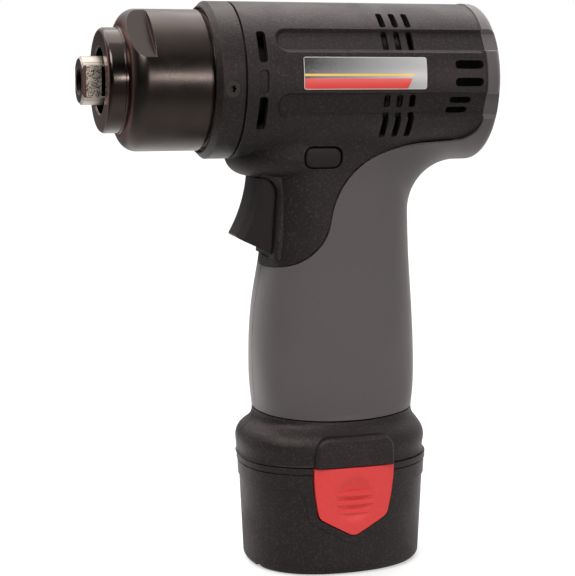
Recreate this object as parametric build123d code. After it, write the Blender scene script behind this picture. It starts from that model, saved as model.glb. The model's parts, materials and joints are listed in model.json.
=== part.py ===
from build123d import *
import os
from math import cos, pi, radians, sin

# Cordless grinder in millimetres: X forward along the spindle, Y to the left, Z up from the foot

# Clearances
SEAT = 0.05           # fixed cylinder in its bore
RUN = 0.08            # turning piece beside a fixed one, on the radius
GAP = 0.4             # moving piece beside its opening
JOINT_LINE = 0.45     # between housing and battery

# Head
AXIS_Z = 181.5
NOSE_R = 25.0
HEAD_WALL = 3.0
HEAD_FRONT = 42.8
HEAD_BACK = -53.0
BACK_ROUND = 3.5
BACK_WALL = 4.6
NECK_ROUND = 16.5
CHIN_DROP = 34.2
CHIN_HALF = 19.0
CHIN_BACK = -10.0
CHIN_ROUND = 7.5

# Handle stations: share of the way from the foot to the head, front, rear, half width
HANDLE = (
    (0.053, 31.1, -29.7, 19.6),
    (0.217, 32.2, -29.8, 20.3),
    (0.399, 31.2, -28.4, 19.9),
    (0.554, 28.6, -26.9, 19.2),
    (0.709, 27.6, -25.9, 19.0),
    (0.854, 27.6, -25.7, 19.0),
    (1.0, 27.6, -25.7, 19.0),
)
HANDLE_IN = 12.5      # reach of the handle into the head
HANDLE_FULL = 0.79    # share of the half length and half width where the outline turns
SKIN = 1.8
HANDLE_WALL = 2.2

# Housing foot stations: height above the battery joint, front, rear, half width
FOOT = (
    (0.0, 37.2, -35.3, 26.4),
    (5.2, 37.3, -35.2, 26.4),
    (8.3, 36.9, -34.7, 25.9),
    (11.2, 34.9, -32.9, 23.6),
    (14.0, 32.0, -30.9, 20.6),
)
FOOT_FULL = 0.74
FOOT_WALL = 3.2
FOOT_CAVITY = 8.5
PAD_HALF = 15.5
PAD_TOP_HALF = 14.8
PAD_HEIGHT = 11.1
PAD_CORNER = 5.4
PAD_REACH = 27.0
PAD_ROUND = 1.6

# Line between housing and grip skin: forward, height over the axis
GRIP_LINE = (
    (-46.7, -11.4),
    (-45.9, -15.7),
    (-42.2, -19.4),
    (-32.4, -21.2),
    (-17.0, -23.2),
    (-4.7, -27.5),
    (3.9, -36.0),
    (8.1, -46.0),
    (9.6, -53.2),
    (13.2, -59.2),
    (19.1, -63.9),
    (26.1, -66.5),
    (45.0, -66.8),
)
GRIP_RISE = 15.1      # lower edge over the battery joint
GRIP_BOW = (40.0, 3.5)
GRIP_GROOVE = 0.5
GRIP_PROUD = 0.25
GRIP_DROP = 1.5
GRIP_NECK = 20.0
PART_LINE = 0.3

# Flutes along the head: angle from level, width of the floor
FLUTES = ((33.5, 6.7), (-16.2, 7.6))
FLUTE_DEPTH = 1.5
FLUTE_FRONT = 30.4
FLUTE_CORNER = 3.0
FLUTE_DRAFT = 42

# Vents: angles from level round the head, or ends and height over the axis
VENT_W = 2.3
VENT_ROUND = 0.4
FRONT_VENT_W = 3.2
FRONT_VENT_IN = 5.9
FRONT_VENTS = ((15.4, 39.8), (-35.0, -9.0))
FRONT_RECESS = (-7.2, 10.4)
RECESS_DEPTH = 0.8
SIDE_VENT_X = (-9.2, -14.0, -18.8)
SIDE_VENTS = ((25.7, 41.6), (44.2, 60.0), (-18.6, -8.4), (-43.0, -22.4))
REAR_VENTS = (
    (-45.4, -34.5, 6.8, 3.0),
    (-45.4, -34.5, 0.6, 3.0),
    (-41.4, -33.2, -5.8, 2.2),
    (-40.3, -32.1, -9.4, 2.2),
)

# Label plates: ends along the head, heights over the axis
LABEL_X = (-23.4, 22.6)
LABEL_Z = (-1.9, 9.4)
LABEL_T = 0.5
LABEL_PROUD = 0.1
LABEL_GAP = 0.15

# Front ring and nose
RING_LENGTH = 10.6
RING_GROOVE = 0.8
RING_CHAMFER = 1.9
RING_LIP = 1.1        # height of the ring's front edge over the nose
NOSE_IN = 4.8
NOSE_ROUND = 6.0
NOSE_LAND = 0.5
NOSE_RELIEF = 0.4
NOSE_NECK = (1.2, 1.2)     # width and depth of the groove before the ring
FLAT_ANGLE = 51.0
FLAT_DEPTH = 3.3
FLAT_LENGTH = 8.6
RING_SCREW_IN = 5.3
RING_SCREW_ANGLE = -3.2
RING_SCREW_HEAD_R = 2.9
RING_SCREW_HEAD = 2.3
RING_SCREW_R = 1.5
RING_SCREW_HEX = 1.3
COLLAR_R = 18.5
COLLAR_LENGTH = 6.9
COLLAR_HOLE = 11.6
COLLAR_ROUND = 1.7
COLLAR_STEP = (0.9, 0.5)   # length and height of the step at its base
SPIGOT = 2.0

# Spindle and bearings
SPINDLE_OUT = 7.1
SPINDLE_R = 8.5
SPINDLE_CHAMFER = 0.8
SPANNER_FLATS = 13.0
SPANNER_IN = 2.9
POCKET_OUT = 0.2
POCKET_HEIGHT = 10.4
POCKET_DEPTH = 1.0
THREAD_R = 4.25
THREAD_DEPTH = 20.0
FRONT_BEARING = (10.0, 17.5, 2.9)          # width, outer radius, ball radius
REAR_BEARING = (8.0, 14.0, 2.2)
BEARING_WEB = 3.3
REAR_JOURNAL_R = 6.0
RACE = 2.9
BALLS = 9
CLIP_T = 1.0
CLIP_R = 10.0
CLIP_GROOVE = 0.6

# Planetary gear
SUN_TEETH = 12
PLANET_TEETH = 12
RING_TEETH = 36
PLANETS = 3
TOOTH_SHARE = 0.40
TOOTH_ROOT = 1.2                # root depth in modules
GEAR_IN = 1.2
GEAR_LENGTH = 10.0
RING_GEAR_R = 21.5
RING_GEAR_WALL = 2.3
CARRIER_RIM = 1.5
CARRIER_T = 4.0
CARRIER_GAP = 0.5
PIN_R = 2.0
PLATE_T = 3.0

# Motor
MOTOR_R = 21.0
MOTOR_ROOM = 0.55
MOTOR_LENGTH = 66.0
CAN_T = 1.4
MAGNET_T = 3.4
AIR_GAP = 0.5
CORE_LENGTH = 34.0
CORE_SLOTS = 8
CORE_SLOT = 2.4
WINDING = 5.0
SHAFT_R = 2.5
BUSH_R = 6.5
BUSH_LENGTH = 4.5
COMMUTATOR_R = 7.0
COMMUTATOR_LENGTH = 7.0
BRUSH = (4.0, 6.0)
BELL_LENGTH = 6.0
FAN_LENGTH = 4.5
FAN_BLADES = 9
CRADLE_X = (23.0, -3.0)
CRADLE_T = 2.5

# Trigger, switch and selector
TRIGGER_HALF = 9.5
TRIGGER_BACK = 20.5
TRIGGER_TRAVEL = 6.0
TRIGGER_LIP = 40.5
TRIGGER_TOP = 34.1
TRIGGER_HOLLOW = 1.3
TRIGGER_BEVEL = (5.6, 2.3)     # across and along
TRIGGER_HEIGHT = 27.3
TRIGGER_LIP_UP = 6.4
TRIGGER_BODY = 8.0             # depth of the plain part behind the finger
BAY_X = 26.3
BAY_LEAN = 1.6
BAY_ROUND = 6.0
BAY_SILL = 1.6
BAY_LIP = 2.6
BAY_LIP_ROUND = 1.8
SWITCH_BACK = -10.0
SWITCH_HALF = 8.0
SWITCH_UP = 4.4
SWITCH_DOWN = 1.5
PLUNGER_R = 3.0
PLUNGER_LENGTH = 14.0
SHELF_T = 2.0
SPRING_WIRE = 0.35
TRIGGER_SPRING_R = 4.2
TRIGGER_TURNS = 4
SELECTOR_X = 11.9
SELECTOR_UNDER = 0.7
SELECTOR_W = 13.4
SELECTOR_H = 7.2
SELECTOR_CORNER = 2.9
SELECTOR_TRAVEL = 3.0
SELECTOR_PROUD = 0.3
SELECTOR_ROUND = 0.7
SELECTOR_COLLAR = 1.2
SELECTOR_STOP = 6.3

# Housing screws: forward, height over the axis or over the battery joint
HEAD_SCREWS = ((31.0, -28.5), (-42.0, -16.5), (-42.0, 21.5), (-17.0, -41.5), (16.0, -67.3))
FOOT_SCREWS = ((30.0, 8.0), (-28.0, 8.0))
BOSS_R = 4.6
WELL_R = 3.3
SCREW_SEAT = 8.0
SCREW_HEAD_R = 2.9
SCREW_HEAD = 2.2
SCREW_R = 1.5
SCREW_TIP = 10.0

# Battery
BATTERY_JOINT = 41.7
FLANGE = 2.2
CASE_BOTTOM = (33.5, -34.1, 25.5)
CASE_TOP = (36.0, -35.2, 26.0)
FLANGE_GROW = 0.7
BAND = 4.0
SEAM = 0.5
SURROUND = 0.45       # raised field of the case: height, depth below the top, width round a latch
SURROUND_DROP = 6.0
SURROUND_W = 3.4
SURROUND_ROUND = 4.0
CASE_WALL = 2.2
CASE_FLOOR = 2.4
FOOT_ROUND = 3.2
TOWER_X = 0.5
TOWER_LENGTH = 34.0
TOWER_WIDTH = 23.0
CONTACT_ROOM = 8.3
CELL_R = 9.1
CELL_LENGTH = 50.0
CELL_GAP = 0.2
LINK_T = 0.4
BLADE_Y = (-6.0, 0.0, 6.0)
BLADE_T = 0.8
BLADE_W = 8.0
BLADE_DIP = 6.0
BLOCK_HEIGHT = 8.0
BLOCK_X = (-21.0, 22.5)
BLOCK_HALF = 9.5
BATTERY_SCREWS = ((29.0, 8.0), (29.0, -8.0), (-29.0, 8.0), (-29.0, -8.0))
BATTERY_BOSS_R = 3.4
BATTERY_BOSS = 14.0

# Latches
LATCH_TOP_HALF = 15.5
LATCH_LOW_HALF = 13.1
LATCH_BULGE = 0.6
LATCH_LOW_Z = 22.6
LATCH_TIP_Z = 15.4
LATCH_CORNER = 3.8
LATCH_PROUD = 0.7
LATCH_BACK = 21.4
LATCH_LIP = 1.6
LATCH_LIP_HALF = 17.5
LATCH_LIP_Z = 23.5
LATCH_TRAVEL = 2.5
LATCH_DISH = 1.4
LATCH_DISH_Z = 28.9
LATCH_DISH_R = 27.0
LATCH_RIBS = 3
LATCH_RIB = (7.4, 1.6, 3.3)    # half width at the middle, height, step
LATCH_TOOTH = 4.0
LATCH_TOOTH_HALF = 5.0
LATCH_SPRING_R = 3.2
LATCH_TURNS = 4
SPRING_SEAT = 12.0

# Leads
LEAD_R = 1.1
LEAD_BEND = 2.5
LEAD_IN = 9.0
LEAD_HOLE = 5.0

# Places that follow from the sizes above
HEAD_R = NOSE_R + HEAD_WALL
CHIN_Z = AXIS_Z - CHIN_DROP
SOCKET_Z = BATTERY_JOINT + JOINT_LINE
HANDLE_Z = (SOCKET_Z + FOOT[-1][0], AXIS_Z - HEAD_R + HANDLE_IN)
HANDLE_INSET = SKIN + HANDLE_WALL
NECK_HALF = HANDLE[-1][3]
CAVITY_R = NOSE_R + SEAT
CAVITY_BACK = HEAD_BACK + BACK_WALL
RING_FRONT = HEAD_FRONT + RING_LENGTH
RING_SCREW_X = HEAD_FRONT + RING_SCREW_IN
GEAR_BACK = HEAD_FRONT + GEAR_IN
RING_GEAR_FRONT = GEAR_BACK + GEAR_LENGTH
CARRIER_BACK = RING_GEAR_FRONT + CARRIER_GAP
REAR_AT = CARRIER_BACK + CARRIER_T + CARRIER_GAP
REAR_END = REAR_AT + REAR_BEARING[0]
FRONT_AT = REAR_END + BEARING_WEB
FRONT_END = FRONT_AT + FRONT_BEARING[0]
NOSE_BACK = HEAD_FRONT - NOSE_IN
NOSE_FRONT = FRONT_END + SPIGOT
COLLAR_FRONT = NOSE_FRONT + COLLAR_LENGTH
SPINDLE_TIP = COLLAR_FRONT + SPINDLE_OUT
MODULE = (RING_GEAR_R - RING_GEAR_WALL) / (RING_TEETH / 2 + TOOTH_ROOT)
ORBIT = MODULE * (SUN_TEETH + PLANET_TEETH) / 2
CARRIER_R = ORBIT + PIN_R + CARRIER_RIM
MOTOR_FRONT = GEAR_BACK - PLATE_T
MOTOR_BACK = MOTOR_FRONT - MOTOR_LENGTH
SELECTOR_Z = AXIS_Z - MOTOR_R - SELECTOR_UNDER - SELECTOR_COLLAR - SELECTOR_H / 2
TRIGGER_BOTTOM = CHIN_Z - GAP - TRIGGER_HEIGHT
TRIGGER_LIP_Z = TRIGGER_BOTTOM + TRIGGER_LIP_UP
BAY_LOW = TRIGGER_BOTTOM - GAP - BAY_SILL
SWITCH_Z = (TRIGGER_BOTTOM + SWITCH_UP, CHIN_Z - SWITCH_DOWN)
SWITCH_FRONT = TRIGGER_BACK - TRIGGER_TRAVEL - 0.7
PLUNGER_Z = (SWITCH_Z[0] + SWITCH_Z[1]) / 2
SCREWS = [(x, AXIS_Z + z) for x, z in HEAD_SCREWS] + [(x, SOCKET_Z + z) for x, z in FOOT_SCREWS]
CASE_Z = BATTERY_JOINT - FLANGE
CELL_FLOOR = CASE_Z + CELL_GAP
CELL_TOP = CELL_FLOOR + CELL_LENGTH
TOWER_TOP = CELL_TOP + CONTACT_ROOM
SHELF_Z = TOWER_TOP + 2.5
LEAD_X = SWITCH_BACK + LEAD_IN

FAR = 200.0
AXIS = Axis((0, 0, AXIS_Z), (1, 0, 0))


def along_x(radius, x0, x1, y=0.0, z=AXIS_Z):
    """Cylinder along X."""
    return Pos((x0 + x1) / 2, y, z) * Rot(0, 90, 0) * Cylinder(radius, x1 - x0)


def along_y(radius, y0, y1, x, z):
    """Cylinder along Y."""
    return Pos(x, (y0 + y1) / 2, z) * Rot(90, 0, 0) * Cylinder(radius, y1 - y0)


def along_z(radius, z0, z1, x, y):
    """Cylinder along Z."""
    return Pos(x, y, (z0 + z1) / 2) * Cylinder(radius, z1 - z0)


def block(x0, x1, y0, y1, z0, z1):
    """Box between two corners."""
    return Pos((x0 + x1) / 2, (y0 + y1) / 2, (z0 + z1) / 2) * Box(x1 - x0, y1 - y0, z1 - z0)


def turned(*points):
    """Body of revolution about the spindle axis from (forward, radius) points."""
    outline = Polyline(*[(x, 0, AXIS_Z + r) for x, r in points], close=True)
    return revolve(make_face(outline), AXIS, 360)


def tube_x(outer, inner, x0, x1):
    """Tube about the spindle axis."""
    return turned((x0, inner), (x0, outer), (x1, outer), (x1, inner))


def rim(shape, x, radius):
    """Circular edges of a turned shape at one station and radius."""
    picked = []
    for edge in shape.edges().filter_by(GeomType.CIRCLE):
        if abs(edge.arc_center.X - x) < 0.01 and abs(edge.radius - radius) < 0.01:
            picked.append(edge)
    return picked


def about(shape, degrees):
    """Shape turned about the spindle axis, from +Y towards +Z."""
    return shape.rotate(AXIS, degrees)


def other_side(shape):
    """The same shape on the right."""
    return mirror(shape, about=Plane.XZ)


def both_sides(shape):
    """Shape on the left and on the right."""
    return shape + other_side(shape)


def oval(front, rear, half, full, z):
    """Rounded outline at one height."""
    mid = (front + rear) / 2
    a = (front - rear) / 2
    k = (full - 0.5) / 0.375
    quarters = []
    for sx, sy in ((1, 1), (-1, 1), (-1, -1), (1, -1)):
        end = (mid + sx * a, 0, z)
        side = (mid, sy * half, z)
        near_end = (mid + sx * a, sy * k * half, z)
        near_side = (mid + sx * k * a, sy * half, z)
        if sx * sy > 0:
            quarters.append(Bezier(end, near_end, near_side, side))
        else:
            quarters.append(Bezier(side, near_side, near_end, end))
    return make_face(Curve() + quarters)


def coil(radius, wire, length, turns):
    """Compression spring along Z from zero."""
    path = Helix(pitch=(length - 2 * wire) / turns, height=length - 2 * wire, radius=radius)
    section = Plane(origin=path @ 0, z_dir=path % 0) * Circle(wire)
    return Pos(0, 0, wire) * sweep(section, path)


def lead(*points):
    """Round wire along straight runs with rounded bends."""
    path = FilletPolyline(*points, radius=LEAD_BEND)
    return sweep(Plane(origin=path @ 0, z_dir=path % 0) * Circle(LEAD_R), path)


# Outer form of the housing with its skin
def column_form(inset):
    """Flared foot and handle as one form, drawn in by an inset."""
    low, high = HANDLE_Z
    faces = [oval(f - inset, r + inset, h - inset, FOOT_FULL, SOCKET_Z + z) for z, f, r, h in FOOT]
    for share, f, r, h in HANDLE:
        faces.append(oval(f - inset, r + inset, h - inset, HANDLE_FULL, low + share * (high - low)))
    return loft(faces)


def side_prism(points, y0, y1):
    """Outline in the side view, extruded across."""
    face = make_face(Polyline(*[(x, y0, z) for x, z in points], close=True))
    return extrude(face, amount=y1 - y0, dir=(0, 1, 0))


def pads():
    """Flat raised pads over the latches."""
    outline = (
        (-PAD_HALF, SOCKET_Z),
        (PAD_HALF, SOCKET_Z),
        (PAD_TOP_HALF, SOCKET_Z + PAD_HEIGHT),
        (-PAD_TOP_HALF, SOCKET_Z + PAD_HEIGHT),
    )
    pad = side_prism(outline, PAD_REACH / 2, PAD_REACH)
    tops = pad.edges().filter_by(Axis.Y).group_by(Axis.Z)[-1]
    pad = fillet(tops, PAD_CORNER)
    rimline = pad.faces().sort_by(Axis.Y)[-1].edges()
    pad = fillet([e for e in rimline if e.center().Z > SOCKET_Z + 0.5], PAD_ROUND)
    return both_sides(pad)


def head_form(radius, drop, front):
    """Plain head cylinder with its rear edge rounded."""
    head = along_x(radius, HEAD_BACK, front, 0, AXIS_Z - drop)
    return fillet(rim(head, HEAD_BACK, radius), BACK_ROUND)


def necked(head, neck):
    """Head and handle as one body with a rounded neck."""
    body = head + (column_form(0) + pads())
    low = AXIS_Z - HEAD_R - 5
    joints = []
    for edge in body.edges():
        round_edge = edge.geom_type in (GeomType.LINE, GeomType.CIRCLE)
        if not round_edge and low < edge.center().Z < AXIS_Z and edge.center().X > HEAD_BACK + HEAD_R / 2:
            joints.append(edge)
    body = fillet(joints, neck)
    return body & block(-FAR, HEAD_FRONT, -FAR, FAR, -FAR, 2 * FAR)


def bay_front():
    """What is cut away in front of the handle below the chin."""
    sill = (BAY_X + BAY_LEAN, 0, BAY_LOW)
    edge = FilletPolyline((FAR, 0, CHIN_Z), (BAY_X, 0, CHIN_Z), sill, radius=BAY_ROUND)
    rest = Polyline(sill, (FAR, 0, BAY_LOW), (FAR, 0, CHIN_Z))
    return extrude(make_face(Curve() + [edge, rest]), amount=FAR / 2, dir=(0, 1, 0), both=True)


def outer_form():
    """Head, neck, handle, chin and foot as one body, with a lip round the trigger opening."""
    body = necked(head_form(HEAD_R, 0, HEAD_FRONT + 2 * NECK_ROUND), NECK_ROUND)
    front = bay_front()
    chin = extrude(oval(HEAD_FRONT, CHIN_BACK, CHIN_HALF, FOOT_FULL, CHIN_Z), amount=CHIN_DROP - 8)
    chin = fillet(chin.faces().sort_by(Axis.Z)[0].edges(), CHIN_ROUND)
    half = TRIGGER_HALF + GAP + BAY_LIP
    lip = block(BAY_X - BAY_ROUND, BAY_X + BAY_ROUND, -half, half, BAY_LOW, CHIN_Z + BAY_LIP) - front
    outside = []
    for edge in lip.edges():
        middle = edge.center()
        at_side = abs(abs(middle.Y) - half) < 0.01
        if at_side and middle.X > BAY_X - 1 and BAY_LOW + 1 < middle.Z < CHIN_Z - 1:
            outside.append(edge)
    lip = fillet(outside, BAY_LIP_ROUND)
    return (body - front) + chin + lip


def grip_prism(shift):
    """Side-view region of the grip skin, drawn back by a shift."""
    line = [(x - shift, 0, AXIS_Z + z - shift) for x, z in GRIP_LINE]
    last = line[-1]
    bow_x, bow = GRIP_BOW
    bottom = SOCKET_Z + GRIP_RISE + shift
    front = (bow_x, 0, bottom + bow)
    rear = (-bow_x, 0, bottom + bow)
    edges = [
        Spline(*line),
        Polyline(last, (FAR, 0, last[2]), (FAR, 0, front[2]), front),
        ThreePointArc(front, (0, 0, bottom), rear),
        Polyline(rear, (-FAR, 0, rear[2]), (-FAR, 0, 2 * FAR), (line[0][0], 0, 2 * FAR), line[0]),
    ]
    return extrude(make_face(Curve() + edges), amount=FAR / 2, dir=(0, 1, 0), both=True)


def under_skin():
    """What the grip skin lies on."""
    head = along_x(HEAD_R - SKIN, HEAD_BACK + SKIN, HEAD_FRONT)
    return head + column_form(SKIN)


def flutes():
    """Long recesses on the left of the head, open to the rear."""
    cut = None
    for angle, width in FLUTES:
        plane = Plane((0, 0, AXIS_Z), (1, 0, 0), (0, cos(radians(angle)), sin(radians(angle))))
        length = FLUTE_FRONT - HEAD_BACK + 10
        sheet = Pos(FLUTE_FRONT - length / 2, 0) * Rectangle(length, width)
        sheet = fillet(sheet.vertices().group_by(Axis.X)[-1], FLUTE_CORNER)
        floor = plane.offset(HEAD_R - FLUTE_DEPTH) * sheet
        tool = extrude(floor, amount=FLUTE_DEPTH + 2, taper=-FLUTE_DRAFT)
        cut = tool if cut is None else cut + tool
    return cut


def arc_vent(x, width, low, start, end):
    """Slot round the head between two angles, with rounded corners."""
    face = Pos(x, (low + HEAD_R + 2) / 2, AXIS_Z) * Rectangle(width, HEAD_R + 2 - low)
    slot = about(revolve(face, AXIS, end - start), start)
    corners = [e for e in slot.edges().filter_by(GeomType.LINE) if abs((e % 0.5).X) < 0.5]
    return fillet(corners, width * VENT_ROUND)


def vents():
    """All vents on the left of the head, with the blind recess between the front ones."""
    tools = []
    front_x = HEAD_FRONT - FRONT_VENT_IN
    for start, end in FRONT_VENTS:
        tools.append(arc_vent(front_x, FRONT_VENT_W, NOSE_R - 3, start, end))
    tools.append(arc_vent(front_x, FRONT_VENT_W, HEAD_R - RECESS_DEPTH, *FRONT_RECESS))
    for x in SIDE_VENT_X:
        for start, end in SIDE_VENTS:
            tools.append(arc_vent(x, VENT_W, NOSE_R - 3, start, end))
    for x0, x1, z, height in REAR_VENTS:
        slot = Rot(90, 0, 0) * RectangleRounded(x1 - x0, height, height * 0.45)
        tools.append(extrude(Pos((x0 + x1) / 2, NOSE_R - 8, AXIS_Z + z) * slot, amount=FAR, dir=(0, 1, 0)))
    cut = tools[0]
    for tool in tools[1:]:
        cut = cut + tool
    return cut


def label_zone(inner, outer, grow):
    """Curved sheet on the left of the head."""
    sheet = tube_x(outer, inner, LABEL_X[0] - grow, LABEL_X[1] + grow)
    return sheet & block(-FAR, FAR, 0, FAR, AXIS_Z + LABEL_Z[0] - grow, AXIS_Z + LABEL_Z[1] + grow)


def selector_bar(grow):
    """Straight bar of the selector across the housing."""
    corner = SELECTOR_CORNER + grow
    face = Rot(90, 0, 0) * RectangleRounded(SELECTOR_W + 2 * grow, SELECTOR_H + 2 * grow, corner)
    return Pos(SELECTOR_X, 0, SELECTOR_Z) * face


# Housing halves and grip skin, both worked on the left side
left_room = block(-FAR, FAR, PART_LINE / 2, FAR, -FAR, 2 * FAR)
outer = outer_form() & left_room
cuts = flutes() + label_zone(HEAD_R + LABEL_PROUD - LABEL_T, HEAD_R + 2, LABEL_GAP)
bay = block(SWITCH_FRONT, FAR, -TRIGGER_HALF - GAP, TRIGGER_HALF + GAP, TRIGGER_BOTTOM - GAP, CHIN_Z)
selector_hole = extrude(selector_bar(JOINT_LINE), amount=FAR / 4, dir=(0, 1, 0))

long_head = HEAD_FRONT + 2 * GRIP_NECK
proud_head = head_form(HEAD_R + GRIP_PROUD, 0, long_head) + head_form(HEAD_R, GRIP_DROP, long_head)
proud = necked(proud_head, GRIP_NECK) & left_room
grip = (proud & grip_prism(GRIP_GROOVE)) - under_skin() - cuts
backing = under_skin() & grip_prism(0) & left_room
solid_half = ((outer - grip_prism(0)) + backing) - cuts - vents() - bay - selector_hole

cavity = along_x(CAVITY_R, CAVITY_BACK, HEAD_FRONT + 1)
cavity = cavity + (column_form(HANDLE_INSET) & block(-FAR, FAR, -FAR, FAR, SOCKET_Z, FAR))
foot_z, foot_front, foot_rear, foot_half = FOOT[0]
room_half = foot_half - FOOT_WALL
foot_room = oval(foot_front - FOOT_WALL, foot_rear + FOOT_WALL, room_half, FOOT_FULL, SOCKET_Z - 1)
cavity = cavity + extrude(foot_room, amount=FOOT_CAVITY + 1)

# Ribs that hold the motor, the switch and the terminal block
ribs = None
for x in CRADLE_X:
    rib = tube_x(CAVITY_R + 0.5, MOTOR_R + SEAT, x - CRADLE_T / 2, x + CRADLE_T / 2)
    ribs = rib if ribs is None else ribs + rib
room = column_form(HANDLE_INSET - 0.5)
ledge = room & block(-FAR, FAR, -FAR, FAR, SHELF_Z - SHELF_T, SHELF_Z)
socket = SlotOverall(TOWER_LENGTH + 2, TOWER_WIDTH + 2)
ledge = ledge - extrude(Pos(TOWER_X, 0, SHELF_Z - 2 * SHELF_T) * socket, amount=4 * SHELF_T)
shelf = room & block(-FAR, SWITCH_FRONT, -FAR, FAR, SWITCH_Z[0] - SHELF_T, SWITCH_Z[0])
lead_hole = block(-LEAD_HOLE, LEAD_HOLE, -LEAD_HOLE, LEAD_HOLE, SWITCH_Z[0] - 2 * SHELF_T, SWITCH_Z[0] + 1)
shelf = shelf - Pos(LEAD_X, 0, 0) * lead_hole
wall_form = column_form(SKIN + HANDLE_WALL / 2) + along_x(CAVITY_R + 0.8, CAVITY_BACK - 1, HEAD_FRONT)
half = solid_half - cavity
stiffeners = (ribs + ledge + shelf) & block(-FAR, FAR, 0, FAR, -FAR, 2 * FAR)

left_boss = None
right_boss = None
wells = None
pilots = None
for x, z in SCREWS:
    post = along_y(BOSS_R - 1, 0, FAR / 4, x, z)
    left_boss = post if left_boss is None else left_boss + post
    post = along_y(BOSS_R, 0, FAR / 4, x, z)
    right_boss = post if right_boss is None else right_boss + post
    well = along_y(WELL_R, SCREW_SEAT, FAR / 4, x, z) + along_y(SCREW_R + SEAT, -1, SCREW_SEAT, x, z)
    wells = well if wells is None else wells + well
    pilot = along_y(SCREW_R + SEAT, -1, SCREW_TIP + 0.5, x, z)
    pilots = pilot if pilots is None else pilots + pilot
housing_left = half + [stiffeners, left_boss & wall_form] - pilots
housing_right = other_side(half + [stiffeners, right_boss & wall_form] - wells)
grip_left = grip
grip_right = other_side(grip - wells)

screws = None
head_y = -SCREW_SEAT - SCREW_HEAD
for x, z in SCREWS:
    screw = along_y(SCREW_HEAD_R, head_y, -SCREW_SEAT, x, z)
    screw = screw + along_y(SCREW_R, -SCREW_SEAT, SCREW_TIP, x, z)
    cross = block(x - 2, x + 2, head_y - 1, head_y + 1.1, z - 0.4, z + 0.4)
    screw = screw - cross - cross.rotate(Axis((x, 0, z), (0, 1, 0)), 90)
    screws = screw if screws is None else screws + screw

label_left = label_zone(HEAD_R + LABEL_PROUD - LABEL_T, HEAD_R + LABEL_PROUD, 0)
label_right = other_side(label_left)

# Front ring, nose housing and collar
ring_back = HEAD_FRONT + RING_GROOVE
front_ring = turned(
    (HEAD_FRONT, NOSE_R + SEAT),
    (HEAD_FRONT, HEAD_R - 1.2),
    (ring_back, HEAD_R - 1.2),
    (ring_back, HEAD_R),
    (RING_FRONT - RING_CHAMFER, HEAD_R),
    (RING_FRONT, NOSE_R + RING_LIP),
    (RING_FRONT, NOSE_R + NOSE_RELIEF),
    (RING_FRONT - 1.4, NOSE_R + NOSE_RELIEF),
    (RING_FRONT - 1.4, NOSE_R + SEAT),
)
seat_r = HEAD_R - 0.15 - RING_SCREW_HEAD
screw_tip = RING_GEAR_R + 0.7
ring_hole = along_y(RING_SCREW_HEAD_R + SEAT, seat_r, FAR / 4, RING_SCREW_X, AXIS_Z)
ring_hole = ring_hole + along_y(RING_SCREW_R + SEAT, screw_tip - 0.3, seat_r, RING_SCREW_X, AXIS_Z)
ring_holes = both_sides(about(ring_hole, RING_SCREW_ANGLE))
ring_screw = along_y(RING_SCREW_HEAD_R, seat_r, seat_r + RING_SCREW_HEAD, RING_SCREW_X, AXIS_Z)
ring_screw = chamfer(ring_screw.faces().sort_by(Axis.Y)[-1].edges(), 0.3)
ring_screw = ring_screw + along_y(RING_SCREW_R, screw_tip, seat_r, RING_SCREW_X, AXIS_Z)
hexagon = Rot(90, 0, 0) * RegularPolygon(RING_SCREW_HEX, 6)
hexagon = Pos(RING_SCREW_X, seat_r + RING_SCREW_HEAD - 1.5, AXIS_Z) * hexagon
ring_screw = ring_screw - extrude(hexagon, amount=5, dir=(0, 1, 0))
ring_screws = both_sides(about(ring_screw, RING_SCREW_ANGLE))
front_ring = front_ring - ring_holes

front_w, front_r, front_ball = FRONT_BEARING
rear_w, rear_r, rear_ball = REAR_BEARING
neck_w, neck_depth = NOSE_NECK
nose_housing = turned(
    (NOSE_BACK, RING_GEAR_R + SEAT),
    (NOSE_BACK, NOSE_R),
    (RING_FRONT - 0.5, NOSE_R),
    (RING_FRONT - 0.5, NOSE_R - neck_depth),
    (RING_FRONT + neck_w, NOSE_R - neck_depth),
    (RING_FRONT + neck_w, NOSE_R),
    (NOSE_FRONT, NOSE_R),
    (NOSE_FRONT, front_r + SEAT),
    (FRONT_AT, front_r + SEAT),
    (FRONT_AT, rear_r - 3),
    (REAR_END, rear_r - 3),
    (REAR_END, rear_r + SEAT),
    (REAR_AT, rear_r + SEAT),
    (REAR_AT, CARRIER_R + 1.5),
    (RING_GEAR_FRONT, CARRIER_R + 1.5),
    (RING_GEAR_FRONT, RING_GEAR_R + SEAT),
)
nose_round = min(NOSE_ROUND, NOSE_R - front_r - SEAT - NOSE_LAND)
nose_housing = fillet(rim(nose_housing, NOSE_FRONT, NOSE_R), nose_round)
nose_housing = nose_housing - along_x(MOTOR_R + MOTOR_ROOM, NOSE_BACK - 1, MOTOR_FRONT)
flat_in = NOSE_R - FLAT_DEPTH
cut_back = NOSE_FRONT - FLAT_LENGTH
spanner_cut = block(cut_back, NOSE_FRONT + 1, flat_in, FAR, AXIS_Z - NOSE_R, AXIS_Z + NOSE_R)
spanner_cut = about(spanner_cut, FLAT_ANGLE)
nose_housing = nose_housing - spanner_cut - spanner_cut.rotate(AXIS, 180) - ring_holes

step_length, step_height = COLLAR_STEP
nose_collar = turned(
    (FRONT_END, COLLAR_HOLE),
    (FRONT_END, front_r),
    (NOSE_FRONT, front_r),
    (NOSE_FRONT, COLLAR_R + step_height),
    (NOSE_FRONT + step_length, COLLAR_R + step_height),
    (NOSE_FRONT + step_length, COLLAR_R),
    (COLLAR_FRONT, COLLAR_R),
    (COLLAR_FRONT, COLLAR_HOLE),
)
nose_collar = fillet(rim(nose_collar, COLLAR_FRONT, COLLAR_R), COLLAR_ROUND)
nose_collar = chamfer(rim(nose_collar, COLLAR_FRONT, COLLAR_HOLE), 0.5)


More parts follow.
